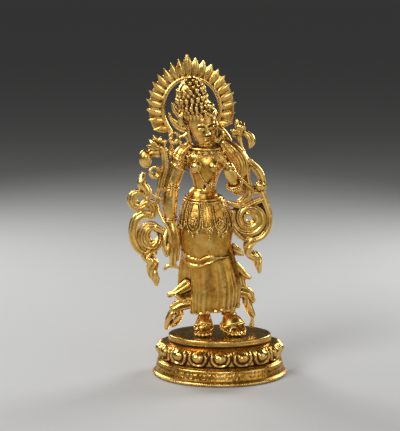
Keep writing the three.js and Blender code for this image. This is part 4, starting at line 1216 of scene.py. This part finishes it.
def makeCollar(bm):
    turns = np.linspace(0, 2 * math.pi, 24, endpoint=False)
    ring = [onBody(a, 144.6 - 0.9 * math.cos(a), 0.5) for a in turns]
    sweep(bm, [[*point, 0.9, 0.9] for point in ring], sides=12, step=0.7, up=(0, 0, 1), closed=True)
    for k in range(9):
        angle = -1.16 + 0.29 * k
        x, y, z = onBody(angle, 142 - 0.3 * math.cos(angle), 0.75)
        turn = Matrix.Translation(Vector((x, y, z)) * mm) @ Matrix.Rotation(angle, 4, "Z")
        plaque = turn @ Matrix.Rotation(0.35, 4, "X") @ Matrix.Diagonal((2.5 * mm, 1.5 * mm, 2.2 * mm, 1))
        made = bmesh.ops.create_cube(bm, size=1, matrix=plaque)["verts"]
        edges = list({edge for vert in made for edge in vert.link_edges})
        bmesh.ops.bevel(bm, geom=edges, offset=0.35 * mm, segments=2, profile=0.5, affect="EDGES", material=-1)
        bead(bm, onBody(angle, 139.4 - 0.5 * math.cos(angle), 0.7), 0.75, 10, 8, (0.8, 0.8, 1.3))
    swags = [onBody(a, 140.2 + 0.9 * math.cos(a * 2 * math.pi / 0.58), 0.8) for a in np.linspace(-1.3, 1.3, 37)]
    sweep(bm, [[*point, 0.42, 0.42] for point in swags], sides=8, step=0.6, up=(0, 0, 1))
    neck = [[-15.4, -6.2, 139], [-14.4, -8.8, 134.5], [-11.6, -7.6, 127], [-8.6, -7.3, 122.8], [-5.4, -7.4, 121.6],
            [-3, -7.8, 124.6], [-2.4, -8.8, 131], [-1.6, -7.6, 137]]
    beadsAlong(bm, neck, 0.5, 0.95)
    rosette(bm, (-5.2, -8.2, 122.6), 1.5, (0.1, -1, 0))


def makeBands(bm):
    hoop(bm, (-30.9, -2.1, 100.9), (0, -0.2, 1), (3.9, 3.5), 0.55)
    hoop(bm, (-30.9, -2.2, 99.6), (0, -0.2, 1), (3.8, 3.4), 0.55)
    hoop(bm, (-30.5, 0.2, 118.6), (-0.15, 0, 1), (4.9, 4.8), 0.6)
    beadedHoop(bm, (-30.3, 0.3, 120), (-0.15, 0, 1), (4.7, 4.7), 0.55, 1.1)
    rosette(bm, (-29.7, -4.9, 121.4), 2, (0.05, -1, 0))
    for k, low in enumerate((136.6, 138.2, 131.6)):
        # slanting bands of the armlet
        hoop(bm, (-24.6 - 0.4 * (136 - low) / 3, 1.5, low), (0.45, 0, 1), (5.2, 5), 0.5)
    rosette(bm, (-25.2, -3.9, 134.4), 1.5, (-0.1, -1, 0))
    beadedHoop(bm, (8.5, -12.2, 123), (-0.3, -0.62, 0.72), (4.7, 4.5), 0.75, 1.35)
    hoop(bm, (8.2, -12.9, 123.8), (-0.3, -0.62, 0.72), (3.9, 3.7), 0.6)
    hoop(bm, (9, -11.2, 122), (-0.3, -0.62, 0.72), (4.1, 4), 0.6)


def makeAnklets(bm):
    sweep(bm, [[-9.6, 0.6, 38, 3.7, 3.9], [-9.8, -0.8, 34.4, 5, 5.2], [-10, -2.4, 31.4, 6.1, 6]], sides=32, ends=(0, 0))
    beadedHoop(bm, (-10, -2.5, 31), (0, -0.42, 1), (6, 6), 0.6, 1.3)
    rosette(bm, (-9.9, -7, 33.4), 1.7, (0, -1, 0.5))
    sweep(bm, [[5.8, 0.6, 40, 3.7, 3.9], [6.2, -0.2, 37, 4.6, 4.7], [7.4, -2.2, 33.6, 6.8, 6.3],
               [8.2, -3.6, 31, 8, 7.2]], sides=32, ends=(0, 0))
    beadedHoop(bm, (8.2, -3.7, 30.6), (0.2, -0.42, 1), (8, 7), 0.65, 1.35)
    hoop(bm, (6, 0.2, 38.4), (0.05, -0.1, 1), (4.4, 4.5), 0.6)


def makeJewellery():
    bm = bmesh.new()
    makeGirdle(bm)
    makeCollar(bm)
    makeBands(bm)
    makeAnklets(bm)
    piece = newPiece("jewellery", bm, giltJewels)
    finish(piece, "figure")


giltBody = makeGilding("gilt_body", rust=0.35, wear=0.5)
giltPedestal = makeGilding("gilt_pedestal", rust=0.7, wear=0.42)
giltBright = makeGilding("gilt_bright", rust=0.2, wear=0.62)
giltSkirt = makeGilding("gilt_skirt", rust=0.8, wear=0.45)
giltHair = makeGilding("gilt_hair", rust=0.3, wear=0.5, patinaAndShade=1.2)
giltJewels = makeGilding("gilt_jewels", rust=0.3, wear=0.55, patinaAndShade=1.1)
makePedestal()
makeNimbus()
print("pedestal and nimbus made")
makeBody()
makeSkirt()
makeBackCloth()
print("body and skirts made")
makeHead()
makeHair()
makeCrown()
print("head made")
makeLeftScarf()
makeRightScarf()
makeScarfEnds()
makeLotuses()
print("scarves and lotuses made")
makeJewellery()
print("jewellery made")
